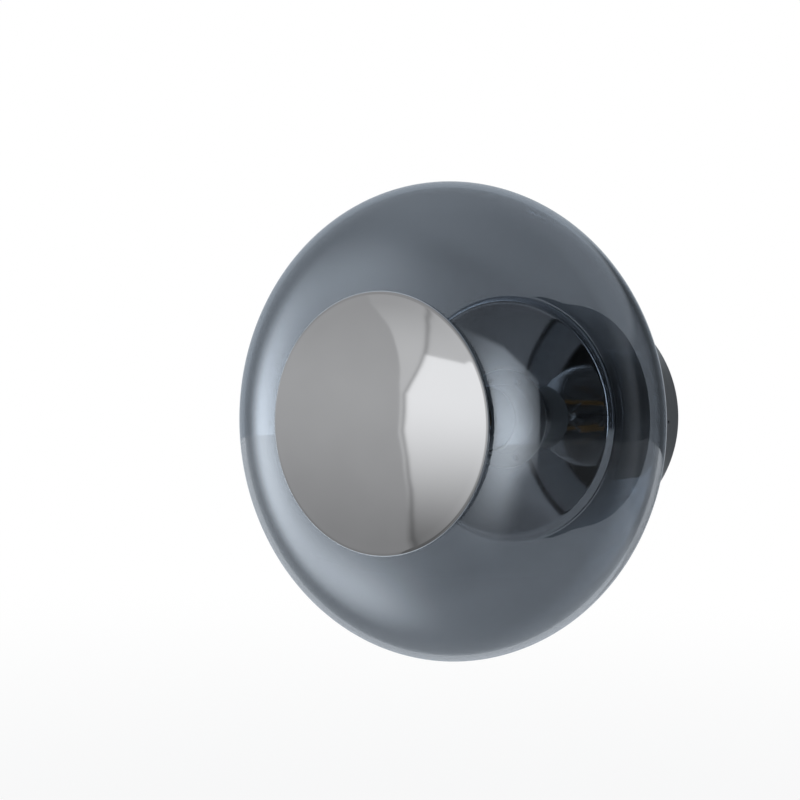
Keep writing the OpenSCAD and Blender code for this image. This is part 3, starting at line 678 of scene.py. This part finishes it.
class SCONCE_OT_disc_holder(bpy.types.Operator):
    """Steel ring in the glass, and the carrier with the magnets behind the disc"""

    bl_idname = "sconce.disc_holder"
    bl_label = "Disc holder"

    def execute(self, context):
        floor_r, wing_r, wing = 50.2, 70.0, KEEPER_BACK + 2.71
        wing_front = wing + KEEPER_T
        tube = rounded([
            (floor_r, KEEPER_BACK), (KEEPER_R, KEEPER_BACK), (KEEPER_R, wing), (wing_r, wing),
            (wing_r, wing_front), (KEEPER_R, wing_front), (KEEPER_R, KEEPER_FRONT),
            (KEEPER_R - KEEPER_T, KEEPER_FRONT), (KEEPER_R - KEEPER_T, KEEPER_BACK + KEEPER_T),
            (floor_r, KEEPER_BACK + KEEPER_T),
        ], 0.35)
        Shape().lathe(tube, 160).piece("keeper_ring", "lamp", "zinc_steel")
        bond_in, bond_out = KEEPER_R + 0.8, wing_r - 0.2
        bond = rounded([
            (bond_in, wing_front), (bond_out, wing_front),
            (bond_out, wing_front + 0.19), (bond_in, wing_front + 0.78),
        ], 0.15)
        Shape().lathe(bond, 160).piece("ring_bond", "lamp", "adhesive")
        inner, outer, back = 53.8, 63.3, KEEPER_BACK + KEEPER_T + 0.4
        carrier = Shape().lathe(rounded(rod(outer, back, DISC_BACK, inner), 0.5), 160)
        magnet_r, magnet_back, magnet_front = 4.0, back - 0.4, back + 3.0
        pocket_r, pocket_back = magnet_r + GAP, back - 1.0
        pockets, magnets = Shape(), Shape()
        for k in range(6):
            at = turn(90 + 60 * k, "Z") @ move((inner + outer) / 2)
            pockets.lathe(rod(pocket_r, pocket_back, magnet_front), 48, at)
            magnets.lathe(rounded(rod(magnet_r, magnet_back, magnet_front), 0.3), 48, at)
        carrier.cut(pockets).piece("magnet_carrier", "disc", "dark_plastic")
        magnets.piece("disc_magnets", "disc", "cap_nickel")
        return {"FINISHED"}


# Drum and plate


class SCONCE_OT_mirror_plate(bpy.types.Operator):
    """Polished plate on the drum's front, dished and with a rolled edge, and the seals"""

    bl_idname = "sconce.mirror_plate"
    bl_label = "Mirror plate"

    def execute(self, context):
        steps = 40
        face_r, hole_r = DRUM_R - PLATE_EDGE_R, TUBE_R + GAP
        face = [
            (r, dish(r)) for r in (hole_r + (face_r - hole_r) * k / steps for k in range(steps + 1))
        ]
        edge = (face_r, PLATE_BACK)
        outline = (
            face + arc(edge, PLATE_EDGE_R, 90, 0, 16)[1:]
            + arc(edge, PLATE_EDGE_R - PLATE_WALL, 0, 90, 12)
            + [(r, z - PLATE_WALL) for r, z in face[::-4][1:]]
        )
        Shape().lathe(outline, 256).cut(cover_screw_holes()).piece(
            "mirror_plate", "lamp", "polished_chrome", "polished_plate"
        )
        for name, low, r in (("rear_seal", DRUM_LEN, REAR_SEAL_R), ("front_seal", LIP_FRONT, DRUM_R)):
            ring = rounded(rod(r, low, low + SEAL_T, SEAL_IN_R), 0.2)
            Shape().lathe(ring, 160).piece(name, "lamp", "silicone")
        return {"FINISHED"}


# Screws through the drum's side: their names and distances from the wall, then their radius,
# their length, how far they stand proud of the drum, and their socket's radius
DRUM_SCREWS = (("drum_screws", 16.0), ("bridge_screws", 37.0))
SET_SCREW_R, SET_SCREW_LEN, SET_SCREW_PROUD, SOCKET_R = 1.5, 6.0, 0.2, 0.87


def radial_holes(height, r):
    """Cutters through both sides of the drum, at a height."""
    cutters, low, high = Shape(), DRUM_R - 10.0, DRUM_R + 5.0
    for side in (0, 180):
        cutters.lathe(rod(r, low, high), 32, radial(side, height))
    return cutters


def radial(side, height):
    """Turns what is drawn along z to point out of the drum's side."""
    return turn(side, "Z") @ move(z=height) @ turn(90, "Y")


class SCONCE_OT_drum(bpy.types.Operator):
    """Satin drum with its inward flange, and the set screws in its side"""

    bl_idname = "sconce.drum"
    bl_label = "Drum"

    def execute(self, context):
        inside, flange = DRUM_R - DRUM_WALL, DRUM_LEN - DRUM_WALL
        outline = (
            [(DRUM_R, DRUM_EDGE + (DRUM_LEN - 8.0) * k / 4) for k in range(5)]
            + arc((DRUM_R - DRUM_EDGE_R, DRUM_LEN - DRUM_EDGE_R), DRUM_EDGE_R, 0, 90, 8)
            + [(DRUM_MOUTH_R + DRUM_EDGE, DRUM_LEN), (DRUM_MOUTH_R, DRUM_LEN - DRUM_EDGE)]
            + [(DRUM_MOUTH_R, flange + DRUM_EDGE), (DRUM_MOUTH_R + DRUM_EDGE, flange)]
            + arc((inside - 1.0, flange - 1.0), 1.0, 90, 0, 6)
            + [(inside, flange * k / 3) for k in (2, 1)]
            + [(inside, DRUM_EDGE), (inside + DRUM_EDGE, 0), (DRUM_R - DRUM_EDGE, 0)]
        )
        drum = Shape().lathe(outline, 256)
        for _, height in DRUM_SCREWS:
            drum.cut(radial_holes(height, SET_SCREW_R + 0.1))
        drum.piece("drum_sleeve", "lamp", "satin_steel")
        tip, end = DRUM_R + SET_SCREW_PROUD - SET_SCREW_LEN, DRUM_R + SET_SCREW_PROUD
        body = rounded([
            (0, tip), (SET_SCREW_R - 0.4, tip), (SET_SCREW_R, tip + 0.5),
            (SET_SCREW_R, end - 0.2), (SET_SCREW_R - 0.3, end), (0, end),
        ], 0.12)
        socket = rod(SOCKET_R, end - 2.0, end + 1.0)
        for name, height in DRUM_SCREWS:
            screws, sockets = Shape(), Shape()
            for side in (0, 180):
                screws.lathe(body, 40, radial(side, height))
                sockets.lathe(socket, 6, radial(side, height))
            screws.cut(sockets).piece(name, "lamp", "screw_steel")
        return {"FINISHED"}


# Lampholder


COVER_R, COVER_CUP_R, COVER_HOLE_R = 32.0, 22.0, 20.3
COVER_WALL, COVER_TOP = 1.2, PLATE_MID + 21.0
COVER_SCREW_CIRCLE_R, COVER_SCREW_ANGLE, COVER_SCREW_R = 26.7, 67.0, 1.2


def cover_screw_places():
    """Where the cover's four screws sit, to the right and up."""
    angle = math.radians(COVER_SCREW_ANGLE)
    aside, up = COVER_SCREW_CIRCLE_R * math.cos(angle), COVER_SCREW_CIRCLE_R * math.sin(angle)
    return [(x * aside, y * up) for x in (1, -1) for y in (1, -1)]


def cover_screw_holes():
    """Cutters for the holes of the cover's screws, well through both sheets."""
    holes, reach = Shape(), 8.0
    for x, y in cover_screw_places():
        holes.lathe(rod(COVER_SCREW_R + GAP, PLATE_MID - reach, PLATE_MID + reach), 24, move(x, y))
    return holes


def thread(pitch, deep, low, high, over=0.0):
    """Turns radii larger than over in and out along a helix between two heights."""

    def warp(r, z, a):
        if r < over or not low < z < high:
            return r, z
        fade = min(1.0, (z - low) / pitch, (high - z) / pitch)
        wave = 0.5 - 0.5 * math.cos(2 * math.pi * (z - low) / pitch - a)
        return r - deep * fade * wave, z

    return warp


class SCONCE_OT_lampholder(bpy.types.Operator):
    """Polished cover with its four screws, ceramic lampholder and screw shell"""

    bl_idname = "sconce.lampholder"
    bl_label = "Lampholder"

    def execute(self, context):
        self.cover()
        self.cover_screws()
        rim, lip_r, lip = CONTACT + 24.5, 16.2, 2.5
        inner, outer, back = 17.25, 20.0, BASE_BACK + PASS_GAP
        skirt = rounded([
            (inner, back), (outer, back), (outer, rim),
            (lip_r, rim), (lip_r, rim - lip), (inner, rim - lip),
        ], 0.9)
        Shape().lathe(skirt, 160).piece("lampholder_skirt", "lamp", "white_ceramic")
        bore_r, well_r = TUBE_R + GAP, 14.0
        base = rounded([
            (bore_r, BASE_BACK), (BASE_R, BASE_BACK), (BASE_R, CARRIER_BACK), (well_r, CARRIER_BACK),
            (well_r, TUBE_FRONT), (bore_r, TUBE_FRONT),
        ], 0.5)
        Shape().lathe(base, 96).piece("lampholder_base", "lamp", "white_ceramic")
        self.shell()
        for node, finish in (("contact_carrier", "white_ceramic"), ("centre_contact", "brass")):
            carry(node, finish, 0.15)
        return {"FINISHED"}

    def cover(self):
        """A cup with a flange that lies on the plate."""
        seat, brim = dish(COVER_R) + 0.02, COVER_R - COVER_WALL / 2
        bend, inside = COVER_CUP_R + 1.0, COVER_HOLE_R + 0.5
        outline = (
            [(inside, seat), (brim, seat)]
            + arc((brim, seat + COVER_WALL / 2), COVER_WALL / 2, -90, 90, 8)
            + [(bend, seat + COVER_WALL)]
            + arc((bend, seat + COVER_WALL + 1.0), 1.0, -90, -180, 6)[1:]
            + arc((COVER_CUP_R - COVER_WALL, COVER_TOP - COVER_WALL), COVER_WALL, 0, 90, 8)
            + [(COVER_HOLE_R + 0.2, COVER_TOP), (COVER_HOLE_R, COVER_TOP - 0.2)]
            + [(COVER_HOLE_R, COVER_TOP - COVER_WALL + 0.2), (inside, COVER_TOP - COVER_WALL)]
        )
        Shape().lathe(outline, 192).cut(cover_screw_holes()).piece(
            "lampholder_cover", "lamp", "polished_chrome", "satin_cover"
        )

    def cover_screws(self):
        """Four small pan-head screws with crossed slots."""
        screws, slots, crossed = Shape(), Shape(), Shape()
        head_r, edge, head_h, tip = 2.0, 0.35, 1.2, -5.0
        slot_reach, slot_half, slot_floor = 1.15, 0.22, 0.45
        seat = dish(COVER_R) + 0.02 + COVER_WALL
        shank = [(0, tip), (COVER_SCREW_R - 0.2, tip), (COVER_SCREW_R, tip + 0.4), (COVER_SCREW_R, 0)]
        dome = [
            (head_r * math.cos(t), edge + (head_h - edge) * math.sin(t))
            for t in (math.pi / 2 * i / 8 for i in range(8))
        ]
        for k, (right, up) in enumerate(cover_screw_places()):
            at = move(right, up, seat) @ turn(20 + 47 * k, "Z")
            screws.lathe(shank + [(head_r, 0)] + dome + [(0, head_h)], 40, at)
            for cutter, x, y in ((slots, slot_reach, slot_half), (crossed, slot_half, slot_reach)):
                cutter.block((-x, -y, slot_floor), (x, y, head_r), at)
        screws.cut(slots).cut(crossed)
        screws.piece("cover_screws", "lamp", "zinc_steel")

    def shell(self):
        """Threaded brass shell on a foot ring, with the bar and post of its contact."""
        steps, foot_in, foot_out, foot = 110, 10.8, SHELL_R + SHELL_WALL, CARRIER_FRONT + 0.6
        rise = [foot + (SHELL_FRONT - foot) * k / steps for k in range(steps + 1)]
        outline = [(SHELL_R, z) for z in rise] + [(foot_out, z) for z in rise[::-1]]
        helix = thread(THREAD_PITCH, THREAD_DEEP, foot + 1.4, SHELL_FRONT - 0.5)
        shell = Shape().lathe(outline, 96, warp=helix)
        shell.lathe(rounded(rod(foot_out, CARRIER_FRONT, foot, foot_in), 0.1), 96)
        post_r, post_at, bar_in, bar_h = 1.2, 12.3, 0.7, 1.35
        shell.lathe(rod(post_r, TAIL, foot - 0.1), 24, move(post_at))
        shell.block((bar_in, -post_r, TAIL), (post_at, post_r, TAIL + bar_h))
        shell.piece("screw_shell", "lamp", "brass")


# Bulb


class SCONCE_OT_bulb(bpy.types.Operator):
    """Clear filament bulb with its screw cap"""

    bl_idname = "sconce.bulb"
    bl_label = "Bulb"

    def execute(self, context):
        settings = context.scene.sconce_bulb
        neck_r, wall, lean_angle = 12.1, 0.8, -35
        lean = math.radians(lean_angle)

        def line(inset, steps):
            r = BULB_R - inset
            shoulder = Vector((r * math.cos(lean), BULB_MID + r * math.sin(lean)))
            neck = Vector((neck_r - inset, NECK))
            curve = (
                neck, neck + Vector((0, 0.38 * BULB_R)),
                shoulder + 0.47 * BULB_R * Vector((math.sin(lean), -math.cos(lean))), shoulder,
            )
            return bezier(curve, steps) + arc((0, BULB_MID), r, lean_angle, 90, 2 * steps)[1:]

        outer, inner = line(0.0, 28), line(wall, 28)
        outer[-1], inner[-1] = (0, outer[-1][1]), (0, inner[-1][1])
        Shape().lathe(outer + inner[::-1], 192).piece(
            "bulb_glass", "bulb", "clear_glass"
        )
        self.stem()
        self.cap()
        self.filaments(settings)
        return {"FINISHED"}

    def stem(self):
        """Glass foot that narrows to a post with a small knob."""
        foot_r, post_r, knob_r = 11.1, 2.2, 2.6
        flare = bezier(((foot_r, NECK + 0.2), (5.0, NECK + 2), (3.0, NECK + 7), (post_r, NECK + 14)), 14)
        knob = [(post_r, STEM_TOP - 3), (knob_r, STEM_TOP - 2), (post_r, STEM_TOP - 0.6), (1.4, STEM_TOP)]
        stem = [(0, NECK), (foot_r, NECK)] + flare + knob + [(0, STEM_TOP)]
        Shape().lathe(stem, 64).piece("bulb_stem", "bulb", "clear_glass")

    def cap(self):
        """Threaded cap, its black insulator and the solder contact."""
        wall, steps, cone_r, drop_r, start_r = 0.5, 110, 10.5, 4.6, 5.5
        solder, collar = CONTACT + 1.5, CONTACT + 5.5
        low = CONTACT + 8.0
        rise = [low + (CAP_FRONT - low) * k / steps for k in range(steps + 1)]
        outline = (
            [(cone_r, collar), (CAP_R - 0.9, low - 1.3), (CAP_R - 0.2, low - 0.6)]
            + [(CAP_R, z) for z in rise]
            + [(CAP_R - wall, z) for z in rise[::-1]]
            + [(CAP_R - 0.7, low - 0.3), (CAP_R - 1.3, low - 0.9), (cone_r - wall, collar)]
        )
        helix = thread(THREAD_PITCH, THREAD_DEEP, low, CAP_FRONT - 1.7)
        Shape().lathe(outline, 96, warp=helix).piece("bulb_cap", "bulb", "cap_nickel")
        insulator = rounded([(0, solder), (start_r, solder), (cone_r, collar), (0, collar)], 0.4)
        Shape().lathe(insulator, 64).piece(
            "bulb_insulator", "bulb", "black_insulator"
        )
        drop = [(0, CONTACT)] + bezier(
            ((2.6, CONTACT), (4.0, CONTACT + 0.1), (drop_r, CONTACT + 0.8), (drop_r, solder)), 8
        ) + [(0, solder)]
        Shape().lathe(drop, 48).piece("bulb_contact", "bulb_tip", "cap_nickel")

    def filaments(self, settings):
        """Coated strips that lean in towards the top, on their wires and the hub."""
        strips, wires = Shape(), Shape()
        r, wire_r, hub_r, hub_h = settings.filament_r / MM, 0.4, 1.6, 1.4
        low, high = Vector((11.5, 0, CAP_FRONT + 27.0)), Vector((9.5, 0, CAP_FRONT + 65.0))
        tilt = math.degrees(math.atan2(high.x - low.x, high.z - low.z))
        length = (high - low).length
        for k in range(settings.filament_count):
            at = turn(45 + 360 * k / settings.filament_count, "Z")
            strip = rounded(rod(r, 0, length), 0.5 * r)
            strips.lathe(strip, 20, at @ move(low.x, 0, low.z) @ turn(tilt, "Y"))
            for start, z, end, away in ((2.3, low.z - 2.2, low, -0.5), (0.0, high.z + 0.7, high, 0.5)):
                goal = Vector((end.x, 0, end.z + away))
                lift = Vector((0, 0, 2.0 * away))
                path = bezier(((start, 0, z), (start + 4, 0, z), goal + lift, goal), 12)
                wires.sweep([at @ Vector(p) for p in path], wire_r, 10, at @ Vector((0, 1, 0)))
        strips.piece("bulb_filaments", "bulb", "filament")
        wires.lathe(rod(wire_r, STEM_TOP, high.z + 0.1), 16)
        wires.lathe(rounded(rod(hub_r, high.z, high.z + hub_h), wire_r), 24)
        wires.piece("bulb_leads", "bulb", "zinc_steel")


# Inside the drum


class SCONCE_OT_bridge(bpy.types.Operator):
    """Bridge across the drum, with the threaded tube and its nuts"""

    bl_idname = "sconce.bridge"
    bl_label = "Bridge and tube"

    def execute(self, context):
        carry("bridge", "zinc_steel", 0.4)
        pitch, deep, chamfer = 1.0, 0.32, 0.4
        steps = int(8 * (TUBE_FRONT - TUBE_BACK))
        low, high = TUBE_BACK + chamfer, TUBE_FRONT - chamfer
        rise = [(TUBE_R, low + (high - low) * k / steps) for k in range(steps + 1)]
        outline = (
            [(TUBE_R - chamfer, TUBE_BACK)] + rise
            + [(TUBE_R - chamfer, TUBE_FRONT), (TUBE_BORE_R, TUBE_FRONT), (TUBE_BORE_R, TUBE_BACK)]
        )
        crests = thread(pitch, deep, low - pitch, high + pitch, over=TUBE_R - 0.1)
        Shape().lathe(outline, 32, warp=crests).piece(
            "threaded_tube", "lamp", "zinc_steel", sharp=50.0
        )
        nuts, bores = Shape(), Shape()
        bore_r, corner_r = TUBE_R + GAP, NUT_D / 2
        strap_back, strap_t = TUBE_BACK + 10.0, 2.0
        for back in (strap_back - NUT_H, strap_back + strap_t, PLATE_MID - PLATE_WALL - NUT_H, NUT_SEAT):
            front = back + NUT_H
            nuts.lathe(rod(corner_r, back, front), 6)
            bores.lathe(rod(bore_r, back - 1, front + 1), 48)
        nuts.cut(bores).piece(
            "tube_nuts", "lamp", "zinc_steel", sharp=20.0, bevel=0.35
        )
        return {"FINISHED"}


class SCONCE_OT_bracket(bpy.types.Operator):
    """Wall bracket with its grommet and earth points"""

    bl_idname = "sconce.bracket"
    bl_label = "Wall bracket"

    def execute(self, context):
        carry("wall_bracket", "zinc_steel", 0.4)
        bore_r, neck_r, brim_r, plate_t, high = 4.5, 6.85, 9.5, 2.0, 4.0
        grommet = rounded([
            (bore_r, 0), (neck_r, 0), (neck_r, plate_t),
            (brim_r, plate_t), (brim_r, high), (bore_r, high),
        ], 0.7)
        Shape().lathe(grommet, 72).piece("cable_grommet", "lamp", "dark_plastic")
        carry("earth_screws", "brass", 0.25)
        carry("earth_washers", "zinc_steel", 0.15)
        carry("earth_tags", "zinc_steel", 0.15)
        return {"FINISHED"}


class SCONCE_OT_terminals(bpy.types.Operator):
    """Terminal block with its brass inserts and screws"""

    bl_idname = "sconce.terminals"
    bl_label = "Terminal block"

    def execute(self, context):
        carry("terminal_block", "white_plastic", 0.5)
        carry("terminal_inserts", "brass", 0.1)
        carry("terminal_screws", "zinc_steel", 0.15)
        carry("block_screws", "zinc_steel", 0.15)
        return {"FINISHED"}


class SCONCE_OT_leads(bpy.types.Operator):
    """Live, neutral and earth leads"""

    bl_idname = "sconce.leads"
    bl_label = "Leads"

    def execute(self, context):
        lead_r, sides, up, in_block, foot = 1.1, 20, 34.0, 11.0, 9.0
        for name, side, finish in (("live_lead", -1, "lead_brown"), ("neutral_lead", 1, "lead_blue")):
            start, mouth = (side * in_block, up - 13.0, foot), (side * 1.9, 0.0, TUBE_BACK)
            bend = bezier((start, (start[0], 6.0, foot), (mouth[0], 0.0, TUBE_BACK - 15.0), mouth), 40)
            rise = [(mouth[0], 0.0, TUBE_BACK + (TAIL - TUBE_BACK) * k / 3) for k in (1, 2, 3)]
            path = [(start[0], up, foot)] + bend + rise
            Shape().sweep(path, lead_r, sides).piece(name, "lamp", finish)
        lift, reach, pull, tag = 2.05, 15.0, 17.0, 4.0
        start, end = Vector((0.0, reach - 42.0, 2.0 + lift)), Vector((-40.0, -reach, 44.0 - lift))
        bend = bezier((start, start + Vector((0, pull, 0)), end - Vector((0, pull, 0)), end), 40)
        path = [start - Vector((0, tag, 0))] + bend + [end + Vector((0, tag, 0))]
        stripes = ([0] * 7 + [1] * 3) * 2
        Shape().sweep(path, lead_r, sides, (0, 0, 1), stripes).piece(
            "earth_lead", "lamp", "lead_earth", "lead_yellow", "lead_green"
        )
        return {"FINISHED"}


# Studio


# Directions are in degrees as seen from the lamp: azimuth 0 is straight in front, and negative to
# the left of it. A pair of numbers is where a soft edge starts and ends.
#
# Soft lights: azimuth and elevation of the middle, how far each reaches sideways and up or down,
# and how bright it is, where 1 is white
SOFT_LIGHTS = (
    (-73.0, -8.0, 15.0, 22.0, 6.4),
    (-55.0, -36.0, 20.0, 17.0, 5.2),
    (-48.0, 22.0, 22.0, 18.0, 1.9),
)
FRONT_LIGHT = (-3.0, -3.0, 11.5, 15.5, 10.0)
# Where the soft lights end by the wall
LIGHTS_END = (-97, -77)
# The front light's straight right side, its top, which slopes down to the right by one in so
# many, and the dim corner at its lower right
FRONT_SIDE, FRONT_TOP, FRONT_SLOPE, FRONT_SOFT = (13.2, 11.8), 16.0, 3.0, (1.0, -1.0)
CORNER_SIDE, CORNER_LOW, CORNER_DIM = (-4, 9), (-8, -16), 0.85
# The room: the tone overhead and underfoot from left to right, the tone behind the lamp, and how
# much darker the gap beside it is
POLE_TONES, BEHIND_TONE, GAP_DIM = (0.8, 0.3), 0.6, 0.81
# The window that the disc mirrors: its left, right, lower and upper sides
WINDOW_SIDES = ((-49, -44), (-19, -24), (-18, -13), (15, 10))
# The curtain's edge in the window: where it hangs, how it curves above and below, and its waves
CURTAIN_EDGE, CURTAIN_RISE, CURTAIN_FALL, CURTAIN_WAVE = -35.35, 0.2, 0.11, 0.45
# Strength of the dusk beside the pane, of the curtain and of its glow at mid height
DUSK, CURTAIN, CURTAIN_GLOW = 0.44, 0.22, 0.2
COOL_LIGHT, WINDOW_LIGHT = (0.82, 0.905, 1.0), (0.975, 0.985, 1.0)


class SCONCE_OT_studio(bpy.types.Operator):
    """Floor, soft lights and the camera"""

    bl_idname = "sconce.studio"
    bl_label = "Studio"

    def execute(self, context):
        scene, settings = context.scene, context.scene.sconce_studio
        self.floor(settings)
        self.surroundings(scene, settings)
        self.camera(scene)
        scene.view_settings.view_transform = "Standard"
        scene.cycles.max_bounces = 32
        scene.cycles.transmission_bounces = 24
        scene.cycles.glossy_bounces = 12
        scene.cycles.transparent_max_bounces = 16
        return {"FINISHED"}

    def floor(self, settings):
        """A pale floor that fades into the white background and keeps the lamp's shadow."""
        reach = 6.0
        mesh = bmesh.new()
        bmesh.ops.create_grid(mesh, x_segments=1, y_segments=1, size=reach)
        data = bpy.data.meshes.new("floor")
        mesh.to_mesh(data)
        mesh.free()
        floor = bpy.data.objects.new("floor", data)
        floor.location = (0, 0, -settings.floor_drop)
        bpy.context.scene.collection.objects.link(floor)
        finish = Finish("pale_floor", Base_Color=(0.86, 0.86, 0.86), Roughness=0.6)
        away = finish.node("ShaderNodeVectorMath", {"operation": "LENGTH"}, finish.place()).out("Value")
        path = finish.node("ShaderNodeLightPath")
        seen = path.out("Is Camera Ray") + path.out("Is Transmission Ray")
        white = finish.node("ShaderNodeEmission", None, Color=(1, 1, 1), Strength=1.0).out()
        plain = Value(finish, finish.shader.outputs[0])
        finish.show(finish.either(seen * away.ramp(0.4, 0.5 * reach, 0.88, 1.0), plain, white))
        data.materials.append(finish.material)
        floor.visible_glossy = False

    def surroundings(self, scene, settings):
        """White behind the lamp and through its glass, and soft lights by direction elsewhere."""
        world = bpy.data.worlds.new("studio")
        scene.world = world
        world.use_nodes = True
        world.cycles.sampling_method = "NONE"
        world.node_tree.nodes.clear()
        sky = Nodes(world.node_tree)
        way = sky.node("ShaderNodeTexCoord").out("Generated")
        sides = sky.node("ShaderNodeSeparateXYZ", None, way)
        right, back, up = sides.out("X"), sides.out("Y"), sides.out("Z")
        azimuth = right.sum("ARCTAN2", right, -back).shaped("DEGREES")
        elevation = up.shaped("ARCSINE").shaped("DEGREES")
        path = sky.node("ShaderNodeLightPath")
        sharp = path.out("Is Singular Ray")
        share = sharp * (settings.glow - settings.plain_glow) + settings.plain_glow
        lights = self.lights(azimuth, elevation) * share
        room = self.room(settings, right, back, up, elevation)
        window, pane = self.window(sky, way, azimuth, elevation)
        level = (room + lights) * (1 - window) + pane * window
        tint = sky.mixed(window, COOL_LIGHT, WINDOW_LIGHT)
        cool = sky.node("ShaderNodeBackground", None, Color=tint, Strength=level).out()
        white = sky.node("ShaderNodeBackground", None, Color=(1, 1, 1), Strength=1.0).out()
        through = path.out("Is Transmission Ray") * (path.out("Glossy Depth") < 0.5)
        seen = path.out("Is Camera Ray").most(through)
        sky.node("ShaderNodeOutputWorld", None, Surface=sky.either(seen, cool, white))

    def room(self, settings, right, back, up, elevation):
        """The room's own tone: dim in front, paler behind and overhead, with a dark gap."""
        side = right.ramp(-0.75, -0.35, settings.left_room, settings.right_room)
        poles = right.ramp(-0.5, 0.3, *POLE_TONES)
        pole_share = up.shaped("ABSOLUTE").ramp(0.6, 0.85)
        front = side * (1 - pole_share) + poles * pole_share
        behind = back.ramp(-0.1, 0.35)
        tone = front * (1 - behind) + BEHIND_TONE * behind
        gap = right.ramp(-0.3, -0.1) * back.ramp(0.35, 0.5)
        gap = gap * elevation.shaped("ABSOLUTE").ramp(29, 23)
        return tone * (1 - GAP_DIM * gap)

    def lights(self, azimuth, elevation):
        """The soft lights, and the front light with its straight sides."""
        total = 0.0
        for middle, height, wide, high, glow in SOFT_LIGHTS:
            total = glow * azimuth.fade(middle, wide) * elevation.fade(height, high) + total
        total = total * azimuth.ramp(*LIGHTS_END)
        middle, height, wide, high, glow = FRONT_LIGHT
        front = glow * azimuth.fade(middle, wide) * elevation.fade(height, high)
        corner = CORNER_DIM * azimuth.ramp(*CORNER_SIDE) * elevation.ramp(*CORNER_LOW)
        top = FRONT_TOP - (azimuth - middle).most(0.0) / FRONT_SLOPE
        front = front * (1 - corner) * azimuth.ramp(*FRONT_SIDE)
        return total + front * (elevation - top).ramp(*FRONT_SOFT)

    def window(self, sky, way, azimuth, elevation):
        """The dim window between the lights that the disc mirrors, and the tone of what is in it.

        A curtain with a wavy edge hangs on its left. Right of it lie a strip of dusk and a pane,
        which is pale in the middle and darker towards the floor.
        """
        left, right, low, high = WINDOW_SIDES
        window = azimuth.ramp(*left) * azimuth.ramp(*right) * elevation.ramp(*low) * elevation.ramp(*high)
        noise_at = sky.node("ShaderNodeTexNoise", None, Vector=way, Scale=22.0, Detail=2.0)
        wave = noise_at.out("Fac") - 0.5
        rise, fall = (elevation + 0.5).most(0.0), (-3.0 - elevation).most(0.0)
        edge = CURTAIN_EDGE - CURTAIN_RISE * rise * rise + CURTAIN_FALL * fall + CURTAIN_WAVE * wave
        inner = edge + 0.22 + 0.55 * (elevation + 1.5).most(0.0)
        top = 0.1 - 0.25 * (azimuth + 34.3)
        pane = azimuth.ramp(inner - 0.05, inner + 0.05) * azimuth.ramp(-29.5, -31.5)
        pane = pane * (elevation - top).ramp(0.05, -0.05)
        pale = elevation.ramp(-8.5, -1.5, 0.12, 0.96)
        strip = azimuth.ramp(edge - 0.06, edge + 0.06) * azimuth.ramp(-26, -30)
        dusk = DUSK * elevation.ramp(3.5, 0.0, 0.7, 1.3) * elevation.ramp(-8.0, -3.0, 0.35, 1.0)
        curtain = CURTAIN + CURTAIN_GLOW * elevation.fade(-1.2, 5.2) + 0.06 * wave
        dim = curtain * (1 - strip) + dusk * strip
        line = 1 - 0.4 * azimuth.fade(inner, 0.1)
        return window, (pale * pane + dim * (1 - pane)) * line

    def camera(self, scene):
        """The camera of the photograph: 33.8 degrees round to the right, 2.6 above the lamp."""
        middle = Vector((0, -SHADE_MID * MM, 0))
        from_middle = Vector((3.333, -4.982, 0.269)) * SHADE_R * MM
        data = bpy.data.cameras.new("camera")
        camera = bpy.data.objects.new("camera", data)
        scene.collection.objects.link(camera)
        # The lens, and where the globe's middle lies in the picture, in pixels of 800
        focal, frame_px, spot_px, level = 1429.0, 800.0, (438.8, 421.3), -1.6
        data.sensor_width = 36.0
        data.lens = focal / frame_px * data.sensor_width
        ahead = -from_middle.normalized()
        right = ahead.cross(Vector((0, 0, 1))).normalized()
        up = right.cross(ahead)
        half = frame_px / 2
        spot = Vector(((spot_px[0] - half) / focal, (half - spot_px[1]) / focal, -1)).normalized()
        basis = Matrix((right, up, -ahead)).transposed()
        aim = spot.rotation_difference(Vector((0, 0, -1))).to_matrix()
        roll = Matrix.Rotation(math.radians(level), 3, spot)
        camera.rotation_euler = (basis @ aim @ roll).to_euler()
        camera.location = middle + from_middle
        data.clip_start, data.clip_end = 0.01, 50.0
        scene.camera = camera


class SCONCE_PT_pieces(bpy.types.Panel):
    """Lists the pieces of the sconce and what can be changed"""

    bl_idname = "SCONCE_PT_pieces"
    bl_label = "Globe wall sconce"
    bl_space_type = "VIEW_3D"
    bl_region_type = "UI"
    bl_category = "Sconce"

    def draw(self, context):
        for group in (context.scene.sconce_look, context.scene.sconce_bulb, context.scene.sconce_studio):
            box = self.layout.box()
            for name in group.__annotations__:
                box.prop(group, name)
        for step in STEPS:
            self.layout.operator(step.bl_idname)


SETTINGS = (
    ("sconce_look", LookSettings), ("sconce_bulb", BulbSettings), ("sconce_studio", StudioSettings),
)
STEPS = (
    SCONCE_OT_studio, SCONCE_OT_shade, SCONCE_OT_front_disc, SCONCE_OT_disc_holder,
    SCONCE_OT_mirror_plate, SCONCE_OT_drum, SCONCE_OT_lampholder, SCONCE_OT_bulb,
    SCONCE_OT_bridge, SCONCE_OT_bracket, SCONCE_OT_terminals, SCONCE_OT_leads,
)


def register():
    for name, group in SETTINGS:
        bpy.utils.register_class(group)
        setattr(bpy.types.Scene, name, bpy.props.PointerProperty(type=group))
    for step in STEPS:
        bpy.utils.register_class(step)
    bpy.utils.register_class(SCONCE_PT_pieces)


def unregister():
    bpy.utils.unregister_class(SCONCE_PT_pieces)
    for step in reversed(STEPS):
        bpy.utils.unregister_class(step)
    for name, group in reversed(SETTINGS):
        delattr(bpy.types.Scene, name)
        bpy.utils.unregister_class(group)


def main():
    register()
    make_finishes()
    for step in STEPS:
        getattr(bpy.ops.sconce, step.bl_idname.split(".")[1])()


if __name__ == "__main__":
    main()
